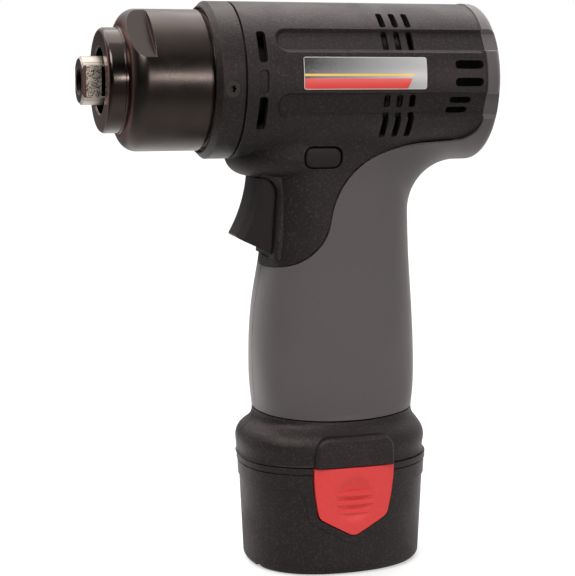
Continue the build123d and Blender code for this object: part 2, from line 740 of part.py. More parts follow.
def bearing(start, width, outside, ball, inside_r):
    """Outer race, inner race and balls of one bearing."""
    mid = start + width / 2
    pitch = (outside + inside_r) / 2
    track = Pos(mid, 0, AXIS_Z) * Rot(0, 90, 0) * Torus(pitch, ball + RUN)
    outside_race = tube_x(outside, outside - RACE, start, start + width) - track
    inside_race = tube_x(inside_r + RACE, inside_r, start, start + width) - track
    balls = None
    for i in range(BALLS):
        one = about(Pos(mid, pitch, AXIS_Z) * Sphere(ball), 360 * i / BALLS)
        balls = one if balls is None else balls + one
    return outside_race, inside_race, balls


front_outer, front_inner, front_balls = bearing(FRONT_AT, front_w, front_r, front_ball, SPINDLE_R)
rear_outer, rear_inner, rear_balls = bearing(REAR_AT, rear_w, rear_r, rear_ball, REAR_JOURNAL_R)

# Spindle with the planet carrier
shoulder = FRONT_AT - BEARING_WEB * 0.6
spindle = turned(
    (CARRIER_BACK, 0),
    (CARRIER_BACK, CARRIER_R),
    (CARRIER_BACK + CARRIER_T, CARRIER_R),
    (CARRIER_BACK + CARRIER_T, REAR_JOURNAL_R + 1.5),
    (REAR_AT, REAR_JOURNAL_R + 1.5),
    (REAR_AT, REAR_JOURNAL_R),
    (REAR_END, REAR_JOURNAL_R),
    (REAR_END, SPINDLE_R - 0.5),
    (shoulder, SPINDLE_R - 0.5),
    (shoulder, SPINDLE_R + 1.3),
    (FRONT_AT, SPINDLE_R + 1.3),
    (FRONT_AT, SPINDLE_R),
    (FRONT_END, SPINDLE_R),
    (FRONT_END, SPINDLE_R - CLIP_GROOVE),
    (FRONT_END + CLIP_T, SPINDLE_R - CLIP_GROOVE),
    (FRONT_END + CLIP_T, SPINDLE_R),
    (SPINDLE_TIP, SPINDLE_R),
    (SPINDLE_TIP, 0),
)
spindle = chamfer(rim(spindle, SPINDLE_TIP, SPINDLE_R), SPINDLE_CHAMFER)
flat_y = SPANNER_FLATS / 2
flat_back = COLLAR_FRONT - SPANNER_IN
pocket_z = AXIS_Z - POCKET_HEIGHT / 2
pocket_end = COLLAR_FRONT + POCKET_OUT
flat_cut = block(flat_back, FAR, flat_y, FAR, AXIS_Z - SPINDLE_R, AXIS_Z + SPINDLE_R)
pocket = block(flat_back + 0.1, pocket_end, flat_y - POCKET_DEPTH, FAR, pocket_z, pocket_z + POCKET_HEIGHT)
thread = along_x(THREAD_R, SPINDLE_TIP - THREAD_DEPTH, SPINDLE_TIP + 1)
spindle = spindle - both_sides(flat_cut + pocket) - thread
spindle = chamfer(rim(spindle, SPINDLE_TIP, THREAD_R), 0.8)
pins = None
for i in range(PLANETS):
    pin = about(along_x(PIN_R, GEAR_BACK + 0.7, CARRIER_BACK + CARRIER_T, ORBIT), 360 * i / PLANETS)
    pins = pin if pins is None else pins + pin
spindle = spindle - pins
retaining_ring = tube_x(CLIP_R, SPINDLE_R - CLIP_GROOVE, FRONT_END, FRONT_END + CLIP_T)
retaining_ring = retaining_ring - block(-FAR, FAR, -2, 2, AXIS_Z, AXIS_Z + FAR)


# Gears
def gear_face(teeth, phase, x):
    """Outline of an external gear about the spindle axis."""
    pitch_r = MODULE * teeth / 2
    tip_r = pitch_r + 0.9 * MODULE
    root_r = pitch_r - TOOTH_ROOT * MODULE
    step = 2 * pi / teeth
    points = []
    for i in range(teeth):
        for radius, share in ((root_r, -1.35), (tip_r, -0.42), (tip_r, 0.42), (root_r, 1.35)):
            angle = phase + step * (i + share * TOOTH_SHARE / 2)
            points.append((x, radius * cos(angle), AXIS_Z + radius * sin(angle)))
    return make_face(Polyline(*points, close=True))


def ring_face(x):
    """Toothed opening of the ring gear."""
    pitch_r = MODULE * RING_TEETH / 2
    tip_r = pitch_r - 0.8 * MODULE
    root_r = pitch_r + TOOTH_ROOT * MODULE
    step = 2 * pi / RING_TEETH
    points = []
    for i in range(RING_TEETH):
        for radius, share in ((root_r, -1.4), (tip_r, -0.5), (tip_r, 0.5), (root_r, 1.4)):
            angle = step * (i + share * TOOTH_SHARE / 2)
            points.append((x, radius * cos(angle), AXIS_Z + radius * sin(angle)))
    return make_face(Polyline(*points, close=True))


planet_back = GEAR_BACK + 0.8
planet_length = CARRIER_BACK - 0.5 - planet_back
ring_gear = tube_x(RING_GEAR_R, 1, GEAR_BACK, RING_GEAR_FRONT)
ring_gear = ring_gear - extrude(ring_face(GEAR_BACK - 1), amount=GEAR_LENGTH + 2, dir=(1, 0, 0))
sun_gear = extrude(gear_face(SUN_TEETH, 0, planet_back), amount=planet_length, dir=(1, 0, 0))
sun_gear = sun_gear - along_x(SHAFT_R, planet_back - 1, CARRIER_BACK)
planets = []
for i in range(PLANETS):
    turn = 2 * pi * i / PLANETS
    wheel_face = gear_face(PLANET_TEETH, pi / PLANET_TEETH, planet_back)
    wheel = extrude(wheel_face, amount=planet_length, dir=(1, 0, 0))
    wheel = wheel - along_x(PIN_R + RUN, planet_back - 1, CARRIER_BACK)
    planets.append(Pos(0, ORBIT * cos(turn), ORBIT * sin(turn)) * wheel)

plate_hole = SUN_TEETH * MODULE / 2 + 2 * MODULE
gearbox_plate = tube_x(RING_GEAR_R, plate_hole, MOTOR_FRONT, GEAR_BACK)
plate_screw = along_x(SCREW_HEAD_R, GEAR_BACK - 1.5, GEAR_BACK, ORBIT + 2)
plate_screw = plate_screw + along_x(SCREW_R, MOTOR_FRONT - CAN_T - 2, GEAR_BACK - 1.5, ORBIT + 2)
gearbox_screws = both_sides(plate_screw)
gearbox_plate = gearbox_plate - gearbox_screws

# Motor
can_in = MOTOR_R - CAN_T
motor_can = tube_x(MOTOR_R, can_in, MOTOR_BACK, MOTOR_FRONT)
motor_can = motor_can + tube_x(can_in + 0.2, BUSH_R, MOTOR_FRONT - CAN_T, MOTOR_FRONT) - gearbox_screws
magnet_in = can_in - MAGNET_T
core_front = MOTOR_FRONT - CAN_T - BUSH_LENGTH - FAN_LENGTH - WINDING - 2
core_back = core_front - CORE_LENGTH
motor_magnets = tube_x(can_in, magnet_in, core_back - 2, core_front + 2)
motor_magnets = motor_magnets - block(-FAR, FAR, -FAR, FAR, AXIS_Z - 4, AXIS_Z + 4)
core_r = magnet_in - AIR_GAP
armature_core = tube_x(core_r, SHAFT_R, core_back, core_front)
for i in range(CORE_SLOTS):
    slot_z = AXIS_Z - CORE_SLOT / 2
    slot = block(core_back - 1, core_front + 1, core_r * 0.5, core_r + 1, slot_z, slot_z + CORE_SLOT)
    armature_core = armature_core - about(slot, 360 * i / CORE_SLOTS)
winding_r = core_r - 1.2
windings = tube_x(winding_r, SHAFT_R, core_front, core_front + WINDING)
windings = fillet(rim(windings, core_front + WINDING, winding_r), WINDING * 0.5)
rear_winding = tube_x(winding_r, SHAFT_R, core_back - WINDING, core_back)
rear_winding = fillet(rim(rear_winding, core_back - WINDING, winding_r), WINDING * 0.5)
armature_windings = windings + rear_winding
fan_back = core_front + WINDING + 0.5
cooling_fan = tube_x(SHAFT_R + 3, SHAFT_R, fan_back, fan_back + FAN_LENGTH)
cooling_fan = cooling_fan + tube_x(core_r, SHAFT_R, fan_back, fan_back + 1)
for i in range(FAN_BLADES):
    blade = block(fan_back, fan_back + FAN_LENGTH, SHAFT_R + 2, core_r - 0.5, AXIS_Z - 0.5, AXIS_Z + 0.5)
    cooling_fan = cooling_fan + about(blade, 360 * i / FAN_BLADES)
comm_front = core_back - WINDING - 0.5
comm_back = comm_front - COMMUTATOR_LENGTH
commutator = tube_x(COMMUTATOR_R, SHAFT_R, comm_back, comm_front)
bell_back = MOTOR_BACK - BELL_LENGTH
motor_end_bell = turned(
    (MOTOR_BACK, BUSH_R),
    (MOTOR_BACK, MOTOR_R),
    (MOTOR_BACK - 2, MOTOR_R),
    (bell_back, MOTOR_R - 4),
    (bell_back, BUSH_R),
)
brush_back = (comm_back + comm_front - BRUSH[0]) / 2
brush_front = brush_back + BRUSH[0]
brush_end = COMMUTATOR_R + BRUSH[1]
brush = block(brush_back, brush_front, COMMUTATOR_R + RUN, brush_end, AXIS_Z - 2, AXIS_Z + 2)
holder = block(MOTOR_BACK, brush_front + 1, COMMUTATOR_R + 1, brush_end + 1, AXIS_Z - 3, AXIS_Z + 3)
brushes = both_sides(brush)
motor_end_bell = motor_end_bell + both_sides(holder - brush)
shaft_back = bell_back - 2
motor_shaft = along_x(SHAFT_R, shaft_back, planet_back + planet_length)
front_bush = tube_x(BUSH_R, SHAFT_R + RUN, MOTOR_FRONT - BUSH_LENGTH, MOTOR_FRONT)
rear_bush = tube_x(BUSH_R, SHAFT_R + RUN, bell_back, bell_back + BUSH_LENGTH)
motor_bushes = front_bush + rear_bush

# Trigger with its plunger, switch and spring
trigger_face = make_face(
    Curve()
    + [
        ThreePointArc(
            (TRIGGER_TOP, 0, CHIN_Z - GAP),
            ((TRIGGER_TOP + TRIGGER_LIP) / 2 - TRIGGER_HOLLOW, 0, (CHIN_Z + TRIGGER_LIP_Z) / 2),
            (TRIGGER_LIP, 0, TRIGGER_LIP_Z),
        ),
        Polyline(
            (TRIGGER_LIP, 0, TRIGGER_LIP_Z),
            (TRIGGER_LIP - 1.0, 0, TRIGGER_LIP_Z - 1.2),
            (TRIGGER_BACK + TRIGGER_BODY, 0, TRIGGER_BOTTOM),
            (TRIGGER_BACK, 0, TRIGGER_BOTTOM),
            (TRIGGER_BACK, 0, CHIN_Z - GAP),
            (TRIGGER_TOP, 0, CHIN_Z - GAP),
        ),
    ]
)
trigger = extrude(trigger_face, amount=TRIGGER_HALF, dir=(0, 1, 0), both=True)
finger = trigger.faces().filter_by(GeomType.CYLINDER)[0]
bevel = finger.edges().filter_by(GeomType.CIRCLE)
trigger = chamfer(bevel, TRIGGER_BEVEL[0], TRIGGER_BEVEL[1], reference=finger)
trigger = trigger + along_x(PLUNGER_R, TRIGGER_BACK - PLUNGER_LENGTH, TRIGGER_BACK, 0, PLUNGER_Z)
spring_front = TRIGGER_BACK + TRIGGER_BODY
spring_room = along_x(TRIGGER_SPRING_R + 1, TRIGGER_BACK - 1, spring_front, 0, PLUNGER_Z)
spring_room = spring_room - along_x(PLUNGER_R, TRIGGER_BACK - 1, spring_front, 0, PLUNGER_Z)
trigger = trigger - spring_room
trigger_switch = block(SWITCH_BACK, SWITCH_FRONT, -SWITCH_HALF, SWITCH_HALF, SWITCH_Z[0], SWITCH_Z[1])
trigger_switch = fillet(trigger_switch.edges().filter_by(Axis.X), 1.5)
plunger_in = TRIGGER_BACK - PLUNGER_LENGTH - TRIGGER_TRAVEL - 1
plunger_bore = along_x(PLUNGER_R + GAP, plunger_in, SWITCH_FRONT + 1, 0, PLUNGER_Z)
trigger_switch = trigger_switch - plunger_bore
spring_length = spring_front - SWITCH_FRONT
trigger_spring = coil(TRIGGER_SPRING_R, SPRING_WIRE, spring_length, TRIGGER_TURNS)
trigger_spring = Pos(SWITCH_FRONT, 0, PLUNGER_Z) * Rot(0, 90, 0) * trigger_spring

# Selector button, flush on the left and proud on the right
selector_left = NECK_HALF + SELECTOR_PROUD
selector_right = NECK_HALF + SELECTOR_PROUD + SELECTOR_TRAVEL
selector_face = Pos(0, -selector_right, 0) * selector_bar(0)
selector_button = extrude(selector_face, amount=selector_left + selector_right, dir=(0, 1, 0))
ends = selector_button.faces().sort_by(Axis.Y)
selector_button = fillet(ends[0].edges() + ends[-1].edges(), SELECTOR_ROUND)
stop = extrude(selector_bar(SELECTOR_COLLAR), amount=SELECTOR_STOP, dir=(0, 1, 0), both=True)
selector_button = selector_button + stop


# Battery case, top with tower, cells and contacts
def case_line(station, grow, z):
    """Outline of the case at one station, grown."""
    front, rear, half = station
    return oval(front + grow, rear - grow, half + grow, FOOT_FULL, z)


def case_form(inset, low):
    """Battery case outside, drawn in by an inset."""
    return loft([case_line(CASE_BOTTOM, -inset, low), case_line(CASE_TOP, -inset, CASE_Z)])


def flange_slab(low, high, grow):
    """Slab with the outline of the case top, grown."""
    return extrude(case_line(CASE_TOP, grow, low), amount=high - low)


def shield(grow):
    """Side outline of a latch with swelling sides, from the end of its travel to its face."""
    half = LATCH_TOP_HALF + grow
    low = LATCH_LOW_HALF + grow
    top = BATTERY_JOINT + grow
    low_z = LATCH_LOW_Z - grow
    tip = (0, 0, LATCH_TIP_Z - grow)
    swell = (half + low) / 2 + LATCH_BULGE
    edges = [
        Polyline((-half, 0, top), (half, 0, top)),
        ThreePointArc((half, 0, top), (swell, 0, (top + low_z) / 2), (low, 0, low_z)),
        Polyline((low, 0, low_z), tip, (-low, 0, low_z)),
        ThreePointArc((-low, 0, low_z), (-swell, 0, (top + low_z) / 2), (-half, 0, top)),
    ]
    behind = LATCH_BACK - LATCH_LIP - LATCH_TRAVEL - GAP
    plate = extrude(Pos(0, behind, 0) * make_face(Curve() + edges), amount=FAR / 4, dir=(0, 1, 0))
    lower = [e for e in plate.edges().filter_by(Axis.Y) if e.center().Z < CASE_Z - FLANGE]
    return fillet(lower, LATCH_CORNER)


def raised_field():
    """Raised upper field of the case, coming down round the latches."""
    edge_z = CASE_Z - SURROUND_DROP
    side = LATCH_TOP_HALF + SURROUND_W
    low = LATCH_LOW_HALF + SURROUND_W
    low_z = LATCH_LOW_Z - SURROUND_W / 2
    line = FilletPolyline(
        (-FAR, 0, edge_z),
        (-side, 0, edge_z),
        (-low, 0, low_z),
        (0, 0, LATCH_TIP_Z - SURROUND_W),
        (low, 0, low_z),
        (side, 0, edge_z),
        (FAR, 0, edge_z),
        radius=SURROUND_ROUND,
    )
    rest = Polyline((FAR, 0, edge_z), (FAR, 0, CASE_Z), (-FAR, 0, CASE_Z), (-FAR, 0, edge_z))
    field = extrude(make_face(Curve() + [line, rest]), amount=FAR / 4, dir=(0, 1, 0), both=True)
    return field & case_form(-SURROUND, 0)


battery_case = case_form(0, 0)
battery_case = fillet(battery_case.faces().sort_by(Axis.Z)[0].edges(), FOOT_ROUND)
band = loft([case_line(CASE_TOP, 0, CASE_Z - BAND), case_line(CASE_TOP, FLANGE_GROW, CASE_Z)])
seam = flange_slab(CASE_Z - SEAM, CASE_Z, 2 * FLANGE_GROW) - flange_slab(CASE_Z - SEAM, CASE_Z, 0)
battery_case = battery_case + raised_field() + band - seam
battery_case = battery_case - case_form(CASE_WALL, CASE_FLOOR)
windows = both_sides(shield(GAP))
battery_bosses = None
battery_wells = None
battery_screws = None
posts = None
for x, y in BATTERY_SCREWS:
    boss = along_z(BATTERY_BOSS_R, CASE_FLOOR, BATTERY_BOSS, x, y)
    battery_bosses = boss if battery_bosses is None else battery_bosses + boss
    well = along_z(SCREW_HEAD_R + 0.2, -1, 4, x, y) + along_z(SCREW_R + SEAT, 4, BATTERY_BOSS, x, y)
    battery_wells = well if battery_wells is None else battery_wells + well
    screw = along_z(SCREW_HEAD_R, 4 - SCREW_HEAD, 4, x, y) + along_z(SCREW_R, 4, BATTERY_BOSS + 8, x, y)
    cross = block(x - 2, x + 2, y - 0.4, y + 0.4, 0, 4 - SCREW_HEAD + 1.1)
    screw = screw - cross - cross.rotate(Axis((x, y, 0), (0, 0, 1)), 90)
    battery_screws = screw if battery_screws is None else battery_screws + screw
    post = along_z(BATTERY_BOSS_R, BATTERY_BOSS, CASE_Z, x, y)
    post = post - along_z(SCREW_R, BATTERY_BOSS, BATTERY_BOSS + 8, x, y)
    posts = post if posts is None else posts + post
case_body = case_form(0.5, 0)
battery_case = battery_case + (battery_bosses & case_body) - battery_wells - windows

tower = extrude(Pos(TOWER_X, 0, CASE_Z) * SlotOverall(TOWER_LENGTH, TOWER_WIDTH), amount=TOWER_TOP - CASE_Z)
tower = fillet(tower.faces().sort_by(Axis.Z)[-1].edges(), 1.2)
cell_bore = along_z(CELL_R + CELL_GAP / 2, CASE_Z - 1, CELL_TOP, TOWER_X, 0)
battery_top = flange_slab(CASE_Z, BATTERY_JOINT, FLANGE_GROW) + tower - cell_bore
contact_slots = None
battery_contacts = None
terminal_blades = None
blade_end = TOWER_TOP - BLADE_DIP
blade_back = TOWER_X - BLADE_W / 2
blade_front = TOWER_X + BLADE_W / 2
for y in BLADE_Y:
    slot = block(blade_back - 1, blade_front + 1, y - 1.6, y + 1.6, blade_end - 1.5, TOWER_TOP + 1)
    contact_slots = slot if contact_slots is None else contact_slots + slot
    clip = block(blade_back, blade_front, y - 1.6, y + 1.6, blade_end - 1.5, TOWER_TOP - 1)
    clip = clip - block(-FAR, FAR, y - 0.8, y + 0.8, blade_end - 0.7, TOWER_TOP)
    battery_contacts = clip if battery_contacts is None else battery_contacts + clip
    blade = block(blade_back, blade_front, y - BLADE_T / 2, y + BLADE_T / 2, blade_end, SHELF_Z + 5)
    terminal_blades = blade if terminal_blades is None else terminal_blades + blade
battery_top = battery_top - contact_slots
spring_wall = block(-7, 7, SPRING_SEAT - 1.6, SPRING_SEAT, LATCH_LIP_Z, CASE_Z)
top_extras = both_sides(spring_wall) + (posts & case_form(CASE_WALL + 0.3, CASE_FLOOR))
battery_top = battery_top + top_extras - windows
low_z = CASE_FLOOR + CELL_R
high_z = low_z + 2 * CELL_R + CELL_GAP
end_x = CELL_LENGTH / 2
battery_cells = along_x(CELL_R, -end_x, end_x, 0, low_z) + along_x(CELL_R, -end_x, end_x, 0, high_z)
battery_cells = battery_cells + along_z(CELL_R, CELL_FLOOR, CELL_TOP, TOWER_X, 0)
cell_links = block(end_x, end_x + LINK_T, -3, 3, low_z - 3, high_z + 3)
for z in (low_z, high_z):
    cell_links = cell_links + block(-end_x - LINK_T, -end_x, -3, 3, z - 3, z + 3)
terminal_block = block(BLOCK_X[0], BLOCK_X[1], -BLOCK_HALF, BLOCK_HALF, SHELF_Z, SHELF_Z + BLOCK_HEIGHT)
terminal_block = fillet(terminal_block.edges().filter_by(Axis.Z), 2) - terminal_blades

# Latches: a shield that follows the case, a lip behind the wall and a tooth
low_face = case_line(CASE_BOTTOM, LATCH_PROUD, 0)
high_face = case_line(CASE_TOP, FLANGE_GROW + LATCH_PROUD, BATTERY_JOINT)
lip_y = LATCH_BACK - LATCH_LIP
latch = (shield(0) & loft([low_face, high_face])) - block(-FAR, FAR, -FAR, lip_y, -FAR, FAR)
share = LATCH_DISH_Z / BATTERY_JOINT
face_y = LATCH_PROUD + CASE_BOTTOM[2] * (1 - share) + (CASE_TOP[2] + FLANGE_GROW) * share
latch = latch - Pos(0, face_y - LATCH_DISH + LATCH_DISH_R, LATCH_DISH_Z) * Sphere(LATCH_DISH_R)
rib_half, rib_height, rib_step = LATCH_RIB
rib_low = face_y - 2 * LATCH_DISH
rib_high = face_y - LATCH_DISH / 5
for i in range(LATCH_RIBS):
    rise = rib_step * (i - LATCH_RIBS / 2 + 0.35)
    reach = (rib_half**2 - rise**2) ** 0.5
    low_edge = LATCH_DISH_Z + rise - rib_height / 2
    latch = latch + block(-reach, reach, rib_low, rib_high, low_edge, low_edge + rib_height)
lip = block(-LATCH_LIP_HALF, LATCH_LIP_HALF, lip_y, LATCH_BACK, LATCH_LIP_Z, CASE_Z - GAP)
latch = latch - block(-FAR, FAR, -FAR, LATCH_BACK, -FAR, LATCH_LIP_Z)
latch = latch + (lip & case_form(CASE_WALL + GAP, CASE_FLOOR))
tooth_top = BATTERY_JOINT + LATCH_TOOTH
tooth = block(-LATCH_TOOTH_HALF, LATCH_TOOTH_HALF, lip_y, LATCH_BACK, CASE_Z - 4, tooth_top)
latch_left = latch + tooth
latch_right = other_side(latch_left)
spring_gap = lip_y - SPRING_SEAT
spring_z = (LATCH_LIP_Z + CASE_Z) / 2
latch_spring = coil(LATCH_SPRING_R, SPRING_WIRE, spring_gap, LATCH_TURNS)
latch_spring_left = Pos(0, SPRING_SEAT, spring_z) * Rot(-90, 0, 0) * latch_spring
latch_spring_right = other_side(latch_spring_left)

# Leads
under_motor = AXIS_Z - (MOTOR_R + CAVITY_R) / 2
motor_leads = None
battery_leads = None
for side in (-1, 1):
    points = (
        (bell_back, side * 10, AXIS_Z - 6),
        (bell_back - 4, side * 10, AXIS_Z - 6),
        (bell_back - 4, side * 4, under_motor),
        (SWITCH_BACK + 4, side * 4, under_motor),
        (SWITCH_BACK + 4, side * 4, SWITCH_Z[1]),
    )
    wire = lead(*points)
    motor_leads = wire if motor_leads is None else motor_leads + wire
    block_top = SHELF_Z + BLOCK_HEIGHT
    points = (
        (TOWER_X - 6, side * 6, block_top),
        (TOWER_X - 6, side * 6, block_top + 4),
        (LEAD_X, side * 3, block_top + 8),
        (LEAD_X, side * 3, SWITCH_Z[0]),
    )
    wire = lead(*points)
    battery_leads = wire if battery_leads is None else battery_leads + wire

pieces = {
    "housing_left": housing_left,
    "housing_right": housing_right,
    "grip_left": grip_left,
    "grip_right": grip_right,
    "housing_screws": screws,
    "label_left": label_left,
    "label_right": label_right,
    "front_ring": front_ring,
    "ring_screws": ring_screws,
    "nose_housing": nose_housing,
    "nose_collar": nose_collar,
    "front_bearing_outer": front_outer,
    "front_bearing_inner": front_inner,
    "front_bearing_balls": front_balls,
    "rear_bearing_outer": rear_outer,
    "rear_bearing_inner": rear_inner,
    "rear_bearing_balls": rear_balls,
    "spindle": spindle,
    "planet_pins": pins,
    "retaining_ring": retaining_ring,
    "ring_gear": ring_gear,
    "sun_gear": sun_gear,
    "planet_gear_1": planets[0],
    "planet_gear_2": planets[1],
    "planet_gear_3": planets[2],
    "gearbox_plate": gearbox_plate,
    "gearbox_screws": gearbox_screws,
    "motor_can": motor_can,
    "motor_magnets": motor_magnets,
    "motor_end_bell": motor_end_bell,
    "motor_bushes": motor_bushes,
    "motor_shaft": motor_shaft,
    "armature_core": armature_core,
    "armature_windings": armature_windings,
    "commutator": commutator,
    "brushes": brushes,
    "cooling_fan": cooling_fan,
    "motor_leads": motor_leads,
    "battery_leads": battery_leads,
    "trigger": trigger,
    "trigger_switch": trigger_switch,
    "trigger_spring": trigger_spring,
    "selector_button": selector_button,
    "terminal_block": terminal_block,
    "terminal_blades": terminal_blades,
    "battery_case": battery_case,
    "battery_top": battery_top,
    "battery_cells": battery_cells,
    "cell_links": cell_links,
    "battery_contacts": battery_contacts,
    "battery_screws": battery_screws,
    "latch_left": latch_left,
    "latch_right": latch_right,
    "latch_spring_left": latch_spring_left,
    "latch_spring_right": latch_spring_right,
}

os.makedirs("parts", exist_ok=True)
for name, piece in pieces.items():
    export_step(piece, f"parts/{name}.step")
    print(name, len(piece.solids()), round(piece.volume, 1))
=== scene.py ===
"""Cordless grinder: finishes, fine pieces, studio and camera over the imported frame."""

from __future__ import annotations

import json
import logging
import math
from dataclasses import dataclass, replace
from enum import Enum
from typing import Callable, ClassVar, Iterable, NamedTuple, Sequence, Union

import bmesh
import bpy
from bpy.types import ID, Material, Mesh, Node, NodeSocket, NodeTree, Object
from mathutils import Matrix, Vector

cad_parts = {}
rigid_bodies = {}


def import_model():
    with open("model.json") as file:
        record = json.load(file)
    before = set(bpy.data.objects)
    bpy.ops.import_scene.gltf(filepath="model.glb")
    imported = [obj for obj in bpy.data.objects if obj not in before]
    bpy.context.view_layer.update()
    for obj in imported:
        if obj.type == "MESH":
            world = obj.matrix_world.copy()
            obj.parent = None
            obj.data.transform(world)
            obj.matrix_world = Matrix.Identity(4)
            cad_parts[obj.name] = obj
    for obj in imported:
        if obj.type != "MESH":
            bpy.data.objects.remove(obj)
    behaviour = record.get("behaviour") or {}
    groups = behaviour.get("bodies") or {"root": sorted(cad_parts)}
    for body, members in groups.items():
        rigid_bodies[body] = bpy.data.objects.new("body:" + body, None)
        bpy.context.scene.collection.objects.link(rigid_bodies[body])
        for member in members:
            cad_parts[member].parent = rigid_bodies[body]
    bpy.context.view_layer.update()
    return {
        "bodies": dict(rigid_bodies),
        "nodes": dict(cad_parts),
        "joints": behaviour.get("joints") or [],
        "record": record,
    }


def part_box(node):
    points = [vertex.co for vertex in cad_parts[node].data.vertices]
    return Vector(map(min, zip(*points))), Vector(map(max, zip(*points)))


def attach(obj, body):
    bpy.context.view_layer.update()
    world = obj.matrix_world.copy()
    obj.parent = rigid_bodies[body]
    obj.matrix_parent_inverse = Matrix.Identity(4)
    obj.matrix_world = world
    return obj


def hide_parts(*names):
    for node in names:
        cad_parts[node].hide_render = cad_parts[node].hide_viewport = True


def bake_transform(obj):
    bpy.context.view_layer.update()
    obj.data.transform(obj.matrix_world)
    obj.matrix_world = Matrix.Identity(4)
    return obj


LOG = logging.getLogger("grinder")
MM = 0.001
MERGE = 0.002 * MM
Colour = tuple[float, float, float]
Feed = Union[NodeSocket, float, Sequence[float]]
WHITE: Colour = (1.0, 1.0, 1.0)
WARM: Colour = (1.0, 0.87, 0.86)


class Ramp(NamedTuple):
    """A range of values and what its two ends map to."""

    low: float
    high: float
    start: float = 0.0
    end: float = 1.0


class Bench:
    """Places and joins the nodes of one node tree."""

    def __init__(self, tree: NodeTree) -> None:
        """Keeps the tree to work on."""
        self.tree = tree

    def fill(self, node: Node, inputs: dict) -> None:
        """Fills inputs of a node.

        Args:
            node: The node.
            inputs: Input names or numbers, each with a plain value or a socket to link it to.
        """
        for label, value in inputs.items():
            if isinstance(value, NodeSocket):
                self.tree.links.new(value, node.inputs[label])
            else:
                node.inputs[label].default_value = value

    def node(self, kind: str, inputs: dict | None = None, **settings: object) -> Node:
        """Adds one node.

        Args:
            kind: Blender's name of the node type.
            inputs: What its inputs are filled with.
            **settings: Properties of the node.

        Returns:
            The new node.
        """
        made = self.tree.nodes.new(kind)
        for key, value in settings.items():
            setattr(made, key, value)
        self.fill(made, inputs or {})
        return made

    def maths(self, operation: str, first: Feed, second: Feed = 0.0) -> NodeSocket:
        """Adds a Math node and gives its result."""
        made = self.node("ShaderNodeMath", {0: first, 1: second}, operation=operation)
        return made.outputs[0]

    def times(self, first: Feed, second: Feed) -> NodeSocket:
        """Gives the product of two numbers."""
        return self.maths("MULTIPLY", first, second)

    def length(self, first: Feed, second: Feed) -> NodeSocket:
        """Gives the length of the two legs of a right angle, taken together."""
        squares = [self.maths("POWER", leg, 2.0) for leg in (first, second)]
        return self.maths("SQRT", self.maths("ADD", *squares))

    def dot(self, first: Feed, second: Feed) -> NodeSocket:
        """Gives the dot product of two vectors."""
        made = self.node("ShaderNodeVectorMath", {0: first, 1: second}, operation="DOT_PRODUCT")
        return made.outputs["Value"]

    def axes(self, vector: Feed) -> Sequence[NodeSocket]:
        """Gives the three parts of a vector."""
        return self.node("ShaderNodeSeparateXYZ", {0: vector}).outputs

    def noise(self, place: Feed, scale: Feed, detail: float, **more: float) -> NodeSocket:
        """Gives the value of a noise at a place."""
        inputs = {"Vector": place, "Scale": scale, "Detail": detail, **more}
        return self.node("ShaderNodeTexNoise", inputs).outputs[0]

    def mix(self, factor: Feed, first: Feed, second: Feed) -> NodeSocket:
        """Mixes two colours and gives the result."""
        made = self.node("ShaderNodeMix", {0: factor, 6: first, 7: second}, data_type="RGBA")
        return made.outputs[2]

    def remap(self, value: Feed, ramp: Ramp) -> NodeSocket:
        """Maps a value from one range to another, clamped."""
        ends = dict(zip(("From Min", "From Max", "To Min", "To Max"), ramp))
        return self.node("ShaderNodeMapRange", {"Value": value, **ends}).outputs[0]

    def lifted(self, geometry: NodeSocket, height: Feed) -> NodeSocket:
        """Moves a geometry along Z and gives the result."""
        rise = self.node("ShaderNodeCombineXYZ", {2: height}).outputs[0]
        return self.node("GeometryNodeTransform", {0: geometry, "Translation": rise}).outputs[0]

    def object_place(self) -> NodeSocket:
        """Gives the place on the piece, in its own coordinates."""
        return self.node("ShaderNodeTexCoord").outputs["Object"]


def shade(colour: Colour, gain: float = 1.0) -> tuple[float, float, float, float]:
    """Gives a colour, made lighter or darker, with its alpha."""
    return (colour[0] * gain, colour[1] * gain, colour[2] * gain, 1.0)


def new_material(name: str) -> tuple[Material, Bench, Node]:
    """Makes a material.

    Args:
        name: The material's name.

    Returns:
        The material, the bench of its tree and its shader node.
    """
    made = bpy.data.materials.new(name)
    made.use_nodes = True
    return made, Bench(made.node_tree), made.node_tree.nodes["Principled BSDF"]


def add_object(name: str, data: ID) -> Object:
    """Puts a mesh, a lamp or a camera into the scene.

    Args:
        name: The object's name.
        data: The mesh, lamp or camera.

    Returns:
        The new object.
    """
    made = bpy.data.objects.new(name, data)
    bpy.context.scene.collection.objects.link(made)
    return made


def evaluated(piece: Object) -> Mesh:
    """Gives a new mesh of a piece as its modifiers leave it."""
    graph = bpy.context.evaluated_depsgraph_get()
    return bpy.data.meshes.new_from_object(piece.evaluated_get(graph))


def head_axis() -> float:
    """Gives the height of the axis that head, nose and spindle share."""
    low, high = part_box("front_ring")
    return (low.z + high.z) / 2


class Group(Bench):
    """A shader node group in the making."""

    def __init__(self, name: str, inputs: dict[str, float]) -> None:
        """Starts the group.

        Args:
            name: The group's name.
            inputs: Number inputs with their usual values.
        """
        super().__init__(bpy.data.node_groups.new(name, "ShaderNodeTree"))
        face = self.tree.interface
        for label, value in inputs.items():
            made = face.new_socket(label, in_out="INPUT", socket_type="NodeSocketFloat")
            made.default_value = value
        self.given = {socket.name: socket for socket in self.node("NodeGroupInput").outputs}

    def close(self, **outputs: NodeSocket) -> None:
        """Gives the group its outputs, all of them numbers but the one called Normal.

        Args:
            **outputs: What each output passes on.
        """
        for label in outputs:
            kind = "NodeSocketVector" if label == "Normal" else "NodeSocketFloat"
            self.tree.interface.new_socket(label, in_out="OUTPUT", socket_type=kind)
        self.node("NodeGroupOutput", outputs)


